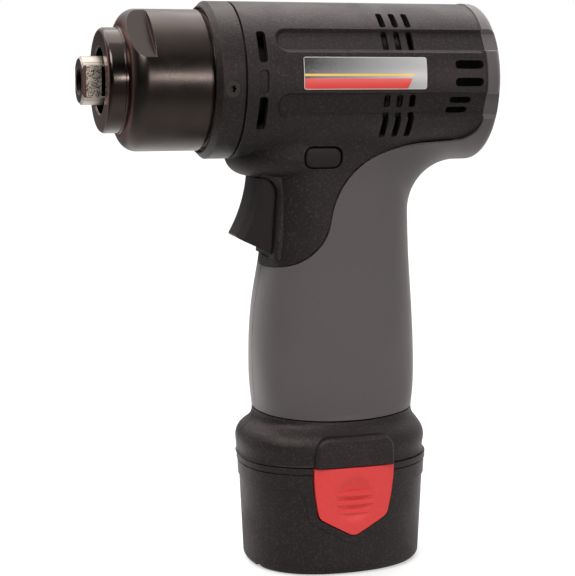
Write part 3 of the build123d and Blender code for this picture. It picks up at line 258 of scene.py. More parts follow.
class Effects:
    """Shader node groups that several finishes share."""

    # Shares of a group's own scale, and where each noise, turn or distance begins and is full
    FLECK_SCALE = 0.62
    FLECKS = Ramp(0.52, 0.72)
    SMEARS = Ramp(0.35, 0.68)
    RUBBED = Ramp(0.995, 0.90)
    BROKEN = Ramp(0.42, 0.6, 0.15, 1.0)
    BAND_SCALE = 0.12
    BANDS = Ramp(0.35, 0.65)
    ON_PLANE = Ramp(0.03 * MM, 0.08 * MM, 1.0, 0.0)

    @staticmethod
    def grain() -> None:
        """Makes the fine eroded grain of moulded plastic: its height, and pale flecks that are
        partly painted sparkle.
        """
        bench = Group("moulded_grain", {"Scale": 1400.0})
        place, scale = bench.object_place(), bench.given["Scale"]
        height = bench.noise(place, scale, detail=3.0, Roughness=0.6)
        wider = bench.times(scale, Effects.FLECK_SCALE)
        fleck = bench.remap(bench.noise(place, wider, detail=1.0), Effects.FLECKS)
        bench.close(Height=height, Fleck=fleck)

    @staticmethod
    def handling() -> None:
        """Makes broad, faint smudges where hands and cloths have been."""
        bench = Group("handling", {"Scale": 40.0})
        place, scale = bench.object_place(), bench.given["Scale"]
        smear = bench.noise(place, scale, detail=4.0, Roughness=0.55, Distortion=0.6)
        bench.close(Mask=bench.remap(smear, Effects.SMEARS))

    @staticmethod
    def edges() -> None:
        """Makes softened edges: a rounded normal and a broken mask of the rims, for wear and
        painted highlight.
        """
        bench = Group("soft_edges", {"Radius": 0.3 * MM, "Break Scale": 700.0})
        radius = {"Radius": bench.given["Radius"]}
        rounded = bench.node("ShaderNodeBevel", radius, samples=6).outputs[0]
        straight = bench.node("ShaderNodeNewGeometry").outputs["Normal"]
        turn = bench.remap(bench.dot(rounded, straight), Effects.RUBBED)
        noise = bench.noise(bench.object_place(), bench.given["Break Scale"], detail=2.0)
        broken = bench.remap(noise, Effects.BROKEN)
        bench.close(Mask=bench.times(turn, broken), Normal=rounded)

    @staticmethod
    def turning() -> None:
        """Makes the fine rings that a lathe leaves round the spindle axis."""
        bench = Group("lathe_lines", {"Scale": 2600.0, "Axis Height": 0.0})
        scale = bench.given["Scale"]
        along, across, height = bench.axes(bench.object_place())
        radius = bench.length(across, bench.maths("SUBTRACT", height, bench.given["Axis Height"]))
        ring = bench.node("ShaderNodeCombineXYZ", {0: along, 1: radius}).outputs[0]
        lines = bench.noise(ring, scale, detail=2.0)
        bands = bench.noise(ring, bench.times(scale, Effects.BAND_SCALE), detail=3.0)
        bench.close(Height=lines, Shade=bench.remap(bands, Effects.BANDS))

    @staticmethod
    def blasting() -> None:
        """Makes the glitter of a blasted flat, square to Y, and the painted shadow of the pocket
        below it and the bore.
        """
        planes = {"Flat": 6.5 * MM, "Pocket": 5.5 * MM}
        others = {"Scale": 3600.0, "Bore": 5.0 * MM, "End": 0.1, "Axis Height": 0.0}
        bench = Group("blasted_flat", planes | others)
        given = bench.given
        place = bench.object_place()
        cell = bench.node("ShaderNodeTexVoronoi", {"Vector": place, "Scale": given["Scale"]})
        grit = bench.node("ShaderNodeSeparateColor", {0: cell.outputs["Color"]}).outputs[0]
        along, side, height = bench.axes(place)
        across = bench.maths("ABSOLUTE", side)
        masks = []
        for label in planes:
            away = bench.maths("ABSOLUTE", bench.maths("SUBTRACT", across, given[label]))
            masks.append(bench.remap(away, Effects.ON_PLANE))
        flat, pocket = masks
        rise = bench.maths("SUBTRACT", height, given["Axis Height"])
        # Mask of the bore, for the painted shadow inside it
        inner = bench.maths("LESS_THAN", bench.length(across, rise), given["Bore"])
        tip = bench.maths("GREATER_THAN", along, given["End"])
        bench.close(
            Mask=bench.times(flat, bench.maths("SUBTRACT", 1.0, tip)),
            Tip=bench.times(flat, tip),
            Grit=grit,
            Shadow=bench.maths("MAXIMUM", pocket, inner),
        )

    @staticmethod
    def place(bench: Bench, name: str, values: dict[str, float] | None = None) -> Node:
        """Places a shared effect, which is made on first use.

        Args:
            bench: The tree that it goes into.
            name: The effect's name.
            values: Inputs that differ from the usual ones.

        Returns:
            The group node.
        """
        makers = {
            "moulded_grain": Effects.grain,
            "handling": Effects.handling,
            "soft_edges": Effects.edges,
            "lathe_lines": Effects.turning,
            "blasted_flat": Effects.blasting,
        }
        if name not in bpy.data.node_groups:
            makers[name]()
        return bench.node("ShaderNodeGroup", values, node_tree=bpy.data.node_groups[name])


class Texture(Enum):
    """What the surface of a finish is worked like."""

    MOULDED = "moulded"
    TURNED = "turned"
    FLATTED = "turned, with blasted spanner flats"


@dataclass(frozen=True)
class Finish:
    """One finish of the object.

    Attributes:
        name: The material's name.
        slot: The record's material slot that it stands for.
        colour: Base colour, linear.
        roughness: Middle roughness.
        metallic: 1 for bare metal.
        texture: How the surface is worked.
        scale: Grain or line scale per metre.
        depth: Bump distance in metres.
        fleck: Share of lightening in the grain's flecks.
        glint: How much lighter than the base the flecks are; partly grain tone, partly painted
            sparkle.
        smudge: Roughness change by handling.
        wear: Lightening of the edges, partly wear and partly painted edge highlight.
        edge: Radius of the softened edges in metres.
        shine: Specular level of the shader.
        tint: Colour of the plain reflection.
        ends: Colour painted on the faces square to the spindle axis, where it is another: painted
            shading of them.
        flats: Colour of the spanner flats of the nose, where it is another: painted shade on them.
        sheen: Strength of the soft bloom at grazing sight.
        mottle: Colour of the handled patches, where it is another.
    """

    name: str
    slot: str
    colour: Colour
    roughness: float
    metallic: float = 0.0
    texture: Texture = Texture.MOULDED
    scale: float = 1400.0
    depth: float = 0.02 * MM
    fleck: float = 0.25
    glint: float = 1.7
    smudge: float = 0.08
    wear: float = 0.3
    edge: float = 0.3 * MM
    shine: float = 0.5
    tint: Colour = WHITE
    ends: Colour | None = None
    flats: Colour | None = None
    sheen: float = 0.0
    mottle: Colour | None = None

    # Gains, limits and places that every finish of the kind shares
    BETWEEN_FLECKS = 0.90
    WORN_AND_LIT_EDGE_GAIN = 2.6
    END_FACES = Ramp(0.80, 0.97)
    FLAT_SLOPE = math.radians(51.0)
    FLAT_REACH = 8.5 * MM
    FLAT_FACES = Ramp(0.985, 0.995)
    TIP_LENGTH = 1.5 * MM
    GRAINS = Ramp(0.2, 0.75)
    GRAIN_GAINS = (0.12, 1.55)
    POCKET_SHADOW_GAIN = 0.02
    COARSER = 0.3

    def material(self) -> Material:
        """Gives the finish's material, making it on first use."""
        return bpy.data.materials.get(self.name) or self._build()

    def _build(self) -> Material:
        """Builds the node tree of the material.

        Returns:
            The new material.
        """
        made, bench, shader = new_material(self.name)
        edges = Effects.place(bench, "soft_edges", {"Radius": self.edge})
        hands = Effects.place(bench, "handling").outputs["Mask"]
        if self.texture is Texture.MOULDED:
            work = Effects.place(bench, "moulded_grain", {"Scale": self.scale})
            light = work.outputs["Fleck"]
        else:
            values = {"Scale": self.scale, "Axis Height": head_axis()}
            work = Effects.place(bench, "lathe_lines", values)
            light = work.outputs["Shade"]
        # Pale flecks: partly grain tone, partly painted sparkle of the grain
        speck = bench.times(light, self.fleck)
        between = shade(self.colour, self.BETWEEN_FLECKS)
        base = bench.mix(speck, between, shade(self.colour, self.glint))
        if self.mottle:
            base = bench.mix(hands, base, shade(self.mottle))
        # Edges lightened: partly wear, partly painted highlight along the rims
        rubbed = bench.times(edges.outputs["Mask"], self.wear)
        base = bench.mix(rubbed, base, shade(self.colour, self.WORN_AND_LIT_EDGE_GAIN))
        rough = Ramp(0.0, 1.0, self.roughness - self.smudge, self.roughness + self.smudge)
        swing = bench.remap(hands, rough)
        # Faces square to the spindle axis get a painted shading of their own
        if self.ends:
            normal = bench.node("ShaderNodeNewGeometry").outputs["Normal"]
            facing = bench.maths("ABSOLUTE", bench.axes(normal)[0])
            base = bench.mix(bench.remap(facing, self.END_FACES), base, shade(self.ends))
        # The spanner flats of the nose are painted darker: painted shade on them
        if self.flats:
            base = bench.mix(self._spanner_flats(bench), base, shade(self.flats))
        if self.texture is Texture.FLATTED:
            base, swing = self._blasted(bench, base, swing)
        bump = {"Height": work.outputs["Height"], "Distance": self.depth}
        bump["Normal"] = edges.outputs["Normal"]
        surface = {
            "Base Color": base,
            "Roughness": swing,
            "Normal": bench.node("ShaderNodeBump", bump).outputs[0],
            "Metallic": self.metallic,
            "Specular IOR Level": self.shine,
            "Specular Tint": shade(self.tint),
            "Sheen Weight": self.sheen,
        }
        bench.fill(shader, surface)
        return made

    def _blasted(
        self, bench: Bench, base: NodeSocket, swing: NodeSocket
    ) -> tuple[NodeSocket, NodeSocket]:
        """Adds the blasted flats of the spindle, a painted dark band at their tip and the painted
        pocket and bore shadow.

        Args:
            bench: The tree that the nodes go into.
            base: The colour without them.
            swing: The roughness without them.

        Returns:
            The colour and the roughness with them.
        """
        values = {"Axis Height": head_axis(), "End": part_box("spindle")[1].x - self.TIP_LENGTH}
        flat = Effects.place(bench, "blasted_flat", values)
        mask, grit = flat.outputs["Mask"], flat.outputs["Grit"]
        dark, light = (shade(self.colour, gain) for gain in self.GRAIN_GAINS)
        glitter = bench.mix(bench.remap(grit, self.GRAINS), dark, light)
        base = bench.mix(mask, base, glitter)
        # Painted dark band over the flats' tip, in the end faces' painted shading
        base = bench.mix(flat.outputs["Tip"], base, shade(self.ends))
        # Painted shadow in the pocket below the flats and in the bore
        base = bench.mix(flat.outputs["Shadow"], base, shade(self.colour, self.POCKET_SHADOW_GAIN))
        rough = Ramp(0.0, 1.0, self.roughness, self.roughness + self.COARSER)
        step = bench.maths("SUBTRACT", bench.remap(grit, rough), swing)
        return base, bench.maths("ADD", swing, bench.times(mask, step))

    def _spanner_flats(self, bench: Bench) -> NodeSocket:
        """Finds the two milled flats of the nose by their slope and their reach behind its front.

        Args:
            bench: The tree that the nodes go into.

        Returns:
            1 on the flats, 0 elsewhere.
        """
        place = bench.node("ShaderNodeNewGeometry")
        normal = bench.axes(place.outputs["Normal"])
        along = bench.axes(place.outputs["Position"])[0]
        sideways = bench.times(normal[1], math.cos(self.FLAT_SLOPE))
        upward = bench.times(normal[2], math.sin(self.FLAT_SLOPE))
        facing = bench.maths("ABSOLUTE", bench.maths("ADD", sideways, upward))
        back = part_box("nose_housing")[1].x - self.FLAT_REACH
        ahead = bench.maths("GREATER_THAN", along, back)
        return bench.times(bench.remap(facing, self.FLAT_FACES), ahead)


HOUSING = Finish(
    "black_housing", "housing_plastic", (0.0084, 0.0072, 0.0072), 0.50,
    # glint: pale flecks that are partly grain tone and partly painted sparkle
    scale=1900.0, depth=0.14 * MM, fleck=0.6, glint=4.4, shine=0.38, tint=WARM,
)
RING = replace(
    HOUSING, name="black_ring", slot="ring_metal", colour=(0.0078, 0.0067, 0.0064), roughness=0.46
)
# Trigger plastic darker than the housing's: painted shade of the parts under the head
SHADED_TRIGGER = Finish(
    "black_trigger_with_painted_shade", "trigger_plastic", (0.0065, 0.0056, 0.0058), 0.52, shine=0.30, tint=WARM
)
GRIP = Finish(
    "warm_grey_grip", "grip_rubber", (0.084, 0.072, 0.074), 0.62, scale=1900.0,
    depth=0.03 * MM, fleck=0.10, wear=0.1, sheen=0.40, mottle=(0.085, 0.071, 0.077),
)
NOSE = Finish(
    "black_nose", "nose_metal", (0.060, 0.049, 0.045), 0.32, 1.0, Texture.TURNED,
    depth=0.004 * MM, fleck=0.06, wear=0.5,
    # ends: painted shading of the end faces; flats: painted shade on the spanner flats
    ends=(0.170, 0.076, 0.064), flats=(0.026, 0.0215, 0.020),
)
COLLAR = replace(NOSE, name="polished_collar", roughness=0.20, smudge=0.04, flats=None)
STEEL = Finish(
    "bright_spindle", "spindle_steel", (0.47, 0.42, 0.37), 0.36, 1.0, Texture.FLATTED,
    # ends: painted shade of the spindle's end faces and of the flats' tip
    depth=0.008 * MM, fleck=0.1, ends=(0.085, 0.050, 0.043),
)
SCREW = Finish(
    "black_screws", "screw_steel", (0.052, 0.047, 0.045), 0.40, 1.0,
    depth=0.01 * MM, edge=0.15 * MM,
)
RED = Finish(
    "red_latch", "latch_red", (0.80, 0.055, 0.052), 0.48,
    depth=0.015 * MM, fleck=0.08, wear=0.1, shine=0.4,
)
SPRING = Finish("spring_wire", "spring_steel", (0.58, 0.57, 0.56), 0.28, 1.0)
INNER = (
    Finish("ground_bearing", "bearing_steel", (0.40, 0.39, 0.38), 0.25, 1.0, Texture.TURNED),
    Finish("cut_gears", "gear_steel", (0.45, 0.44, 0.43), 0.34, 1.0),
    # Motor steel painted near black: painted shade of the motor seen through the vents
    Finish("painted_shade_motor", "motor_steel", (0.06, 0.057, 0.055), 0.34, 1.0),
    Finish("ferrite", "magnet_black", (0.05, 0.05, 0.05), 0.6),
    Finish("inner_nylon", "inner_plastic", (0.02, 0.02, 0.021), 0.5),
    Finish("bronze_bush", "bush_bronze", (0.52, 0.33, 0.16), 0.4, 1.0),
    Finish("enamelled_copper", "copper", (0.72, 0.33, 0.16), 0.32, 1.0),
    Finish("brush_carbon", "carbon", (0.02, 0.02, 0.02), 0.6),
    Finish("red_lead", "lead_sleeve", (0.35, 0.02, 0.02), 0.5),
    SPRING,
    Finish("cell_wrap", "cell_sleeve", (0.03, 0.16, 0.10), 0.35),
)


@dataclass(frozen=True)
class PrintedFilm:
    """Label film with plain printed bands.

    Attributes:
        name: The material's name.
        slot: The record's material slot that it stands for.
        dark: Colour of the front end of the ground.
        silver: Colour of the rear end of the ground.
        red: Colour of the band along the bottom.
        amber: Colour of the rule over the band.
        rim: Colour of the bare film edge.
        band: Height of the red band in metres.
        rule: Height of the amber rule in metres.
        lean: How far the band's rear end leans, in metres along for each metre up.
        rear: Where the band ends at the rear, as a share of the film's length.
        edge: Width of the bare edge in metres.
        round: Radius of the film's corners in metres.
        blur: Half the width over which one print runs into the next, in metres.
    """

    name: str = "printed_film"
    slot: str = "label_face"
    dark: Colour = (0.010, 0.011, 0.013)
    silver: Colour = (0.52, 0.53, 0.54)
    red: Colour = (0.78, 0.040, 0.030)
    amber: Colour = (0.85, 0.50, 0.03)
    rim: Colour = (0.62, 0.61, 0.60)
    band: float = 3.9 * MM
    rule: float = 0.8 * MM
    lean: float = 0.5
    rear: float = 0.16
    edge: float = 0.30 * MM
    round: float = 0.9 * MM
    blur: float = 0.05 * MM

    # Drawn streaks, bare edge, trimmed corners and surface of the film
    STREAK_SCALE = 900.0
    STREAKS = Ramp(0.35, 0.65, 0.0, 0.12)
    STREAK_GAIN = 0.6
    EDGE_START = 0.7
    CUT = Ramp(0.0, 0.06 * MM, 1.0, 0.0)
    ROUGH = Ramp(0.0, 1.0, 0.30, 0.42)
    BUMP = 0.006 * MM

    def material(self) -> Material:
        """Gives the film's material, making it on first use."""
        return bpy.data.materials.get(self.name) or self._build()

    def _build(self) -> Material:
        """Builds the bands from the place on the piece.

        Returns:
            The new material.
        """
        made, bench, shader = new_material(self.name)
        low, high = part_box("label_left")
        along, _, rise = bench.axes(bench.object_place())
        fade = bench.remap(along, Ramp(high.x, low.x))
        ground = bench.mix(fade, shade(self.dark), shade(self.silver))
        drawn = bench.noise(bench.object_place(), self.STREAK_SCALE, detail=2.0)
        streak = bench.remap(drawn, self.STREAKS)
        colour = bench.mix(streak, ground, shade(self.silver, self.STREAK_GAIN))
        leaning = bench.maths("ADD", along, bench.times(rise, self.lean))
        stop = low.x + (high.x - low.x) * self.rear + low.z * self.lean
        within = bench.remap(leaning, Ramp(stop, stop + 2 * self.blur))
        top = low.z + self.band
        inks = ((low.z, top, self.red), (top + self.rule, top + 2 * self.rule, self.amber))
        for start, end, ink in inks:
            over = bench.remap(rise, Ramp(start - self.blur, start + self.blur))
            under = bench.remap(rise, Ramp(end - self.blur, end + self.blur, 1.0, 0.0))
            printed = bench.times(within, bench.times(over, under))
            colour = bench.mix(printed, colour, shade(ink))
        depth = self._depth(bench, (along, low.x, high.x), (rise, low.z, high.z))
        bare = bench.remap(depth, Ramp(self.edge * self.EDGE_START, self.edge, 1.0, 0.0))
        colour = bench.mix(bare, colour, shade(self.rim))
        colour = bench.mix(bench.remap(depth, self.CUT), colour, shade(HOUSING.colour))
        rough = bench.remap(Effects.place(bench, "handling").outputs["Mask"], self.ROUGH)
        grain = Effects.place(bench, "moulded_grain").outputs["Height"]
        bump = bench.node("ShaderNodeBump", {"Height": grain, "Distance": self.BUMP})
        surface = {"Base Color": colour, "Roughness": rough, "Normal": bump.outputs[0]}
        bench.fill(shader, surface)
        return made

    def _depth(self, bench: Bench, *spans: tuple[NodeSocket, float, float]) -> NodeSocket:
        """Gives how far inside the film's rounded outline a point lies.

        Args:
            bench: The tree that the nodes go into.
            *spans: For each way across the film, the place on it and its two ends.

        Returns:
            The distance from the outline, up to the corner radius.
        """
        legs = []
        for place, low, high in spans:
            ahead = bench.maths("SUBTRACT", place, low)
            gap = bench.maths("MINIMUM", ahead, bench.maths("SUBTRACT", high, place))
            legs.append(bench.maths("MAXIMUM", bench.maths("SUBTRACT", self.round, gap), 0.0))
        return bench.maths("SUBTRACT", self.round, bench.length(*legs))


FILM = PrintedFilm()
AnyFinish = Union[Finish, PrintedFilm]


class Shop:
    """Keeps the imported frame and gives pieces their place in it."""

    def __init__(self, frame: dict) -> None:
        """Keeps the frame and which body and slot each node belongs to.
        """
        self.nodes: dict[str, Object] = frame["nodes"]
        record = frame["record"]
        bodies = record["behaviour"]["bodies"]
        self.body_of = {node: body for body, members in bodies.items() for node in members}
        self.slot_of = {entry["node"]: entry["material_slot"] for entry in record["subparts"]}

    def smooth_copy(
        self, node: str, finish: AnyFinish, angle: float, cutter: Mesh | None = None
    ) -> None:
        """Replaces a node by a merged, smoothly shaded copy of itself that rides on its body.

        Args:
            node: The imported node.
            finish: The finish that the copy wears.
            angle: Edges that turn by more than this many degrees stay crisp.
            cutter: Closed shape that is cut off the copy.
        """
        made = add_object(f"{node}_piece", self.merged(node))
        if cutter:
            self.cut(made, cutter)
        made.data.set_sharp_from_angle(angle=math.radians(angle))
        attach(made, self.body_of[node])
        self.settle(made, finish, node)

    def merged(self, node: str) -> Mesh:
        """Copies a node's mesh, with its doubled points merged and its faces smooth.

        Args:
            node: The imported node.

        Returns:
            The new mesh.
        """
        mesh = self.nodes[node].data.copy()
        work = bmesh.new()
        work.from_mesh(mesh)
        bmesh.ops.remove_doubles(work, verts=work.verts, dist=MERGE)
        work.to_mesh(mesh)
        work.free()
        mesh.shade_smooth()
        if mesh.attributes.get("custom_normal"):
            mesh.attributes.remove(mesh.attributes["custom_normal"])
        return mesh

    @staticmethod
    def cut(piece: Object, cutter: Mesh) -> None:
        """Cuts a closed shape off a piece.

        Args:
            piece: The piece, which gets a new mesh.
            cutter: The shape, at its place in the frame.
        """
        tool = add_object("cutter", cutter)
        step = piece.modifiers.new("cut", "BOOLEAN")
        step.operation = "DIFFERENCE"
        step.solver = "EXACT"
        step.object = tool
        mesh = evaluated(piece)
        piece.modifiers.remove(step)
        piece.data = mesh
        bpy.data.objects.remove(tool)

    def settle(self, piece: Object, finish: AnyFinish, node: str) -> None:
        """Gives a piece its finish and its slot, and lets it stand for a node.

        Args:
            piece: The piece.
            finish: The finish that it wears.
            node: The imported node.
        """
        piece.data.materials.clear()
        piece.data.materials.append(finish.material())
        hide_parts(node)
        LOG.info("%s stands for %s in %s", piece.name, node, finish.name)


@dataclass
class Assembly:
    """Pieces that belong together.

    Attributes:
        shop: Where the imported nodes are.
        crease: Edges that turn by more than this many degrees stay crisp.
    """

    shop: Shop
    crease: float = 28.0


@dataclass
class Screws(Assembly):
    """Screw heads with a six-point recess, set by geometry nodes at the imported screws.

    Attributes:
        head: Radius and height of the heads.
        shank: Radius of the shanks.
        recess: Inner radius, outer radius and depth of the star recess.
        tip: How far a shank goes on below its head.
    """

    crease: float = 30.0
    head: tuple[float, float] = (2.9 * MM, 2.2 * MM)
    shank: float = 1.5 * MM
    recess: tuple[float, float, float] = (1.0 * MM, 1.4 * MM, 1.9 * MM)
    tip: float = 3.6 * MM

    HEAD_SIDES = 40
    SHANK_SIDES = 24
    STAR_POINTS = 6
    STAR_RISE = 0.4 * MM
    INPUTS = (
        "Head Radius", "Head Height", "Shank Radius", "Shank Length",
        "Recess Inner", "Recess Outer", "Recess Depth",
    )

    def build(self) -> None:
        """Replaces each packed set of screws."""
        axis = head_axis()
        self.set_screws("housing_screws", lambda middle: Vector((0, -1, 0)))
        self.set_screws("battery_screws", lambda middle: Vector((0, 0, -1)))
        self.set_screws(
            "ring_screws", lambda middle: Vector((0, middle.y, middle.z - axis)).normalized()
        )

    def set_screws(self, node: str, outward: Callable[[Vector], Vector]) -> None:
        """Makes one piece of all screws of a node.

        Args:
            node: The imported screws.
            outward: Gives the way a screw's head faces from the screw's middle.
        """
        places, ways = [], []
        for points in self.islands(self.shop.nodes[node].data):
            middle = sum(points, Vector()) / len(points)
            way = outward(middle)
            top = max(point.dot(way) for point in points)
            places.append(middle + way * (top - middle.dot(way)))
            ways.append(way)
        mesh = bpy.data.meshes.new(f"{node}_places")
        mesh.from_pydata(places, [], [])
        facing = mesh.attributes.new("facing", "FLOAT_VECTOR", "POINT")
        facing.data.foreach_set("vector", [value for way in ways for value in way])
        piece = add_object(f"{node}_piece", mesh)
        piece.data = self.grown(piece)
        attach(piece, self.shop.body_of[node])
        self.shop.settle(piece, SCREW, node)

    @staticmethod
    def islands(mesh: Mesh) -> list[list[Vector]]:
        """Finds the separate solids of a mesh, in a fixed order.

        Args:
            mesh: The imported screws.

        Returns:
            The points of each solid.
        """
        work = bmesh.new()
        work.from_mesh(mesh)
        bmesh.ops.remove_doubles(work, verts=work.verts, dist=MERGE)
        left = set(work.verts)
        found = []
        for first in list(work.verts):
            if first not in left:
                continue
            left.discard(first)
            reach = [first]
            for vert in reach:
                for edge in vert.link_edges:
                    other = edge.other_vert(vert)
                    if other in left:
                        left.discard(other)
                        reach.append(other)
            found.append([vert.co.copy() for vert in reach])
        work.free()
        return found

    def grown(self, piece: Object) -> Mesh:
        """Runs the screw tree on a piece and gives the plain mesh.

        Args:
            piece: A mesh of points, each with the way its head faces.

        Returns:
            The finished mesh of all screws.
        """
        tree = bpy.data.node_groups.get("set_of_screws") or self.tree()
        modifier = piece.modifiers.new("screws", "NODES")
        modifier.node_group = tree
        values = {**self.sizes(), "Finish": SCREW.material()}
        for item in tree.interface.items_tree:
            if item.in_out == "INPUT" and item.name in values:
                modifier[item.identifier] = values[item.name]
        made = evaluated(piece)
        piece.modifiers.remove(modifier)
        made.shade_smooth()
        made.set_sharp_from_angle(angle=math.radians(self.crease))
        return made

    def sizes(self) -> dict[str, float]:
        """Gives the sizes by the names that the tree's inputs have."""
        return dict(zip(self.INPUTS, (*self.head, self.shank, self.tip, *self.recess)))

    def tree(self) -> NodeTree:
        """Builds the geometry nodes that put a screw on every point.

        Returns:
            The tree.
        """
        made = bpy.data.node_groups.new("set_of_screws", "GeometryNodeTree")
        made.interface.new_socket("Geometry", in_out="INPUT", socket_type="NodeSocketGeometry")
        for label in self.INPUTS:
            made.interface.new_socket(label, in_out="INPUT", socket_type="NodeSocketFloat")
        made.interface.new_socket("Finish", in_out="INPUT", socket_type="NodeSocketMaterial")
        made.interface.new_socket("Geometry", in_out="OUTPUT", socket_type="NodeSocketGeometry")
        bench = Bench(made)
        given = {socket.name: socket for socket in bench.node("NodeGroupInput").outputs}
        screw = bench.node("GeometryNodeJoinGeometry")
        for part in (self._head(bench, given), self._shank(bench, given)):
            made.links.new(part, screw.inputs[0])
        facing = bench.node(
            "GeometryNodeInputNamedAttribute", {"Name": "facing"}, data_type="FLOAT_VECTOR"
        ).outputs[0]
        turn = bench.node("FunctionNodeAlignRotationToVector", {"Vector": facing}, axis="Z")
        spread = {"Points": given["Geometry"], "Instance": screw.outputs[0]}
        spread["Rotation"] = turn.outputs[0]
        spread = bench.node("GeometryNodeInstanceOnPoints", spread).outputs[0]
        plain = bench.node("GeometryNodeRealizeInstances", {0: spread}).outputs[0]
        dressed = {"Geometry": plain, "Material": given["Finish"]}
        dressed = bench.node("GeometryNodeSetMaterial", dressed).outputs[0]
        bench.node("NodeGroupOutput", {0: dressed})
        return made

    def _head(self, bench: Bench, given: dict) -> NodeSocket:
        """Adds a head with its recess, the top at the point.

        Args:
            bench: The tree that the nodes go into.
            given: The tree's inputs by name.

        Returns:
            The head.
        """
        radius, height = given["Head Radius"], given["Head Height"]
        head = {"Vertices": self.HEAD_SIDES, "Radius": radius, "Depth": height}
        head = bench.node("GeometryNodeMeshCylinder", head).outputs["Mesh"]
        head = bench.lifted(head, bench.times(height, -0.5))
        star = {"Points": self.STAR_POINTS, "Inner Radius": given["Recess Inner"]}
        star["Outer Radius"] = given["Recess Outer"]
        star = bench.node("GeometryNodeCurveStar", star).outputs["Curve"]
        drop = bench.times(given["Recess Depth"], -1.0)
        deep = bench.node("ShaderNodeCombineXYZ", {2: drop}).outputs[0]
        line = {"Start": deep, "End": (0, 0, self.STAR_RISE)}
        line = bench.node("GeometryNodeCurvePrimitiveLine", line).outputs[0]
        socket = {"Curve": line, "Profile Curve": star, "Fill Caps": True}
        socket = bench.node("GeometryNodeCurveToMesh", socket).outputs[0]
        pair = {"Mesh 1": head, "Mesh 2": socket}
        return bench.node("GeometryNodeMeshBoolean", pair, operation="DIFFERENCE").outputs[0]

    def _shank(self, bench: Bench, given: dict) -> NodeSocket:
        """Adds a shank below the head.

        Args:
            bench: The tree that the nodes go into.
            given: The tree's inputs by name.

        Returns:
            The shank.
        """
        radius, length = given["Shank Radius"], given["Shank Length"]
        shank = {"Vertices": self.SHANK_SIDES, "Radius": radius, "Depth": length}
        shank = bench.node("GeometryNodeMeshCylinder", shank).outputs["Mesh"]
        half = bench.times(length, 0.5)
        middle = bench.maths("ADD", given["Head Height"], half)
        return bench.lifted(shank, bench.times(middle, -1.0))


@dataclass
class FluteSlant:
    """Wide slant on the lower edge of the upper flute, which runs out round its front corner.

    Attributes:
        angle: How far the flute's middle stands above the side of the head, in degrees.
        floor: Distance of the flute's floor from the axis.
        skin: Radius of the slant's outer edge.
        clear: Distance of the cutter's far edge from the axis.
        rear: Where the slant begins along the head.
        corner: Where the corner's middle is, along the head and across the flute.
        radius: The corner's radius on the floor, at the long edge and at its end.
        width: The slant's width, at the long edge and at its end.
        steps: Sections round the corner.
    """

    angle: float = 33.5
    floor: float = 26.53 * MM
    skin: float = 28.0 * MM
    clear: float = 30.0 * MM
    rear: float = -45.6 * MM
    corner: tuple[float, float] = (27.4 * MM, -0.35 * MM)
    radius: tuple[float, float] = (2.57 * MM, 2.98 * MM)
    width: tuple[float, float] = (2.29 * MM, 1.38 * MM)
    steps: int = 14

    def cutter(self) -> Mesh:
        """Gives the closed strip that is cut off the housing.

        Returns:
            The strip, at its place in the frame.
        """
        reach = self.corner[1] - self.radius[0]
        sections = [self.section((self.rear, reach), (self.rear, reach - self.width[0]))]
        for i in range(self.steps + 1):
            share = i / self.steps
            turn = math.radians(-90.0 + 90.0 * share)
            inner = self.radius[0] + (self.radius[1] - self.radius[0]) * share
            outer = inner + self.width[0] + (self.width[1] - self.width[0]) * share
            way = (math.cos(turn), math.sin(turn))
            edges = [
                tuple(middle + away * part for middle, part in zip(self.corner, way))
                for away in (inner, outer)
            ]
            sections.append(self.section(*edges))
        points = [point for section in sections for point in section]
        sides = len(sections[0])
        last = len(points) - sides
        faces: list[tuple[int, ...]] = [(2, 1, 0), (last, last + 1, last + 2)]
        for first in range(0, last, sides):
            for k in range(sides):
                here, after = first + k, first + (k + 1) % sides
                faces.append((here, after, after + sides, here + sides))
        mesh = bpy.data.meshes.new("flute_slant")
        mesh.from_pydata(points, [], faces)
        mesh.shade_smooth()
        return mesh

    def section(self, inner: tuple[float, float], outer: tuple[float, float]) -> list[Vector]:
        """Gives the three corners of the cutter at one place.

        Args:
            inner: Place of the floor edge, along the head and across the flute.
            outer: Place of the outer edge, likewise.

        Returns:
            The floor edge, the outer edge and the far edge.
        """
        rise = math.sqrt(self.skin**2 - outer[1] ** 2)
        far = ((inner[0] + outer[0]) / 2, (inner[1] + outer[1]) / 2, self.clear)
        turn = math.radians(self.angle)
        axis = head_axis()
        corners = []
        for x, across, away in ((*inner, self.floor), (*outer, rise), far):
            y = away * math.cos(turn) - across * math.sin(turn)
            z = away * math.sin(turn) + across * math.cos(turn)
            corners.append(Vector((x, y, axis + z)))
        return corners


class Shells(Assembly):
    """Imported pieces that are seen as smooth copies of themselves.

    Attributes:
        FINISHES: The finish of each piece, in the order in which they are dressed.
    """

    FINISHES: ClassVar[dict[str, AnyFinish]] = {}

    def build(self) -> None:
        """Dresses the pieces."""
        for node, finish in self.FINISHES.items():
            self.shop.smooth_copy(node, finish, self.crease)


class Casing(Shells):
    """Housing halves, grip skins, front ring, nose, spindle and labels."""

    FINISHES = {
        "housing_right": HOUSING,
        "grip_left": GRIP,
        "grip_right": GRIP,
        "front_ring": RING,
        "nose_housing": NOSE,
        "nose_collar": COLLAR,
        "spindle": STEEL,
        "retaining_ring": STEEL,
        "label_left": FILM,
        "label_right": FILM,
    }

    def build(self) -> None:
        """Dresses the outer pieces, the left housing half with its slant first."""
        self.shop.smooth_copy("housing_left", HOUSING, self.crease, FluteSlant().cutter())
        super().build()


class Controls(Shells):
    """Trigger, selector and the latches on the battery."""

    FINISHES = {
        "trigger": SHADED_TRIGGER,
        "selector_button": SHADED_TRIGGER,
        "latch_left": RED,
        "latch_right": RED,
    }


class Battery(Shells):
    """Case and top of the battery."""

    FINISHES = {"battery_case": HOUSING, "battery_top": HOUSING}


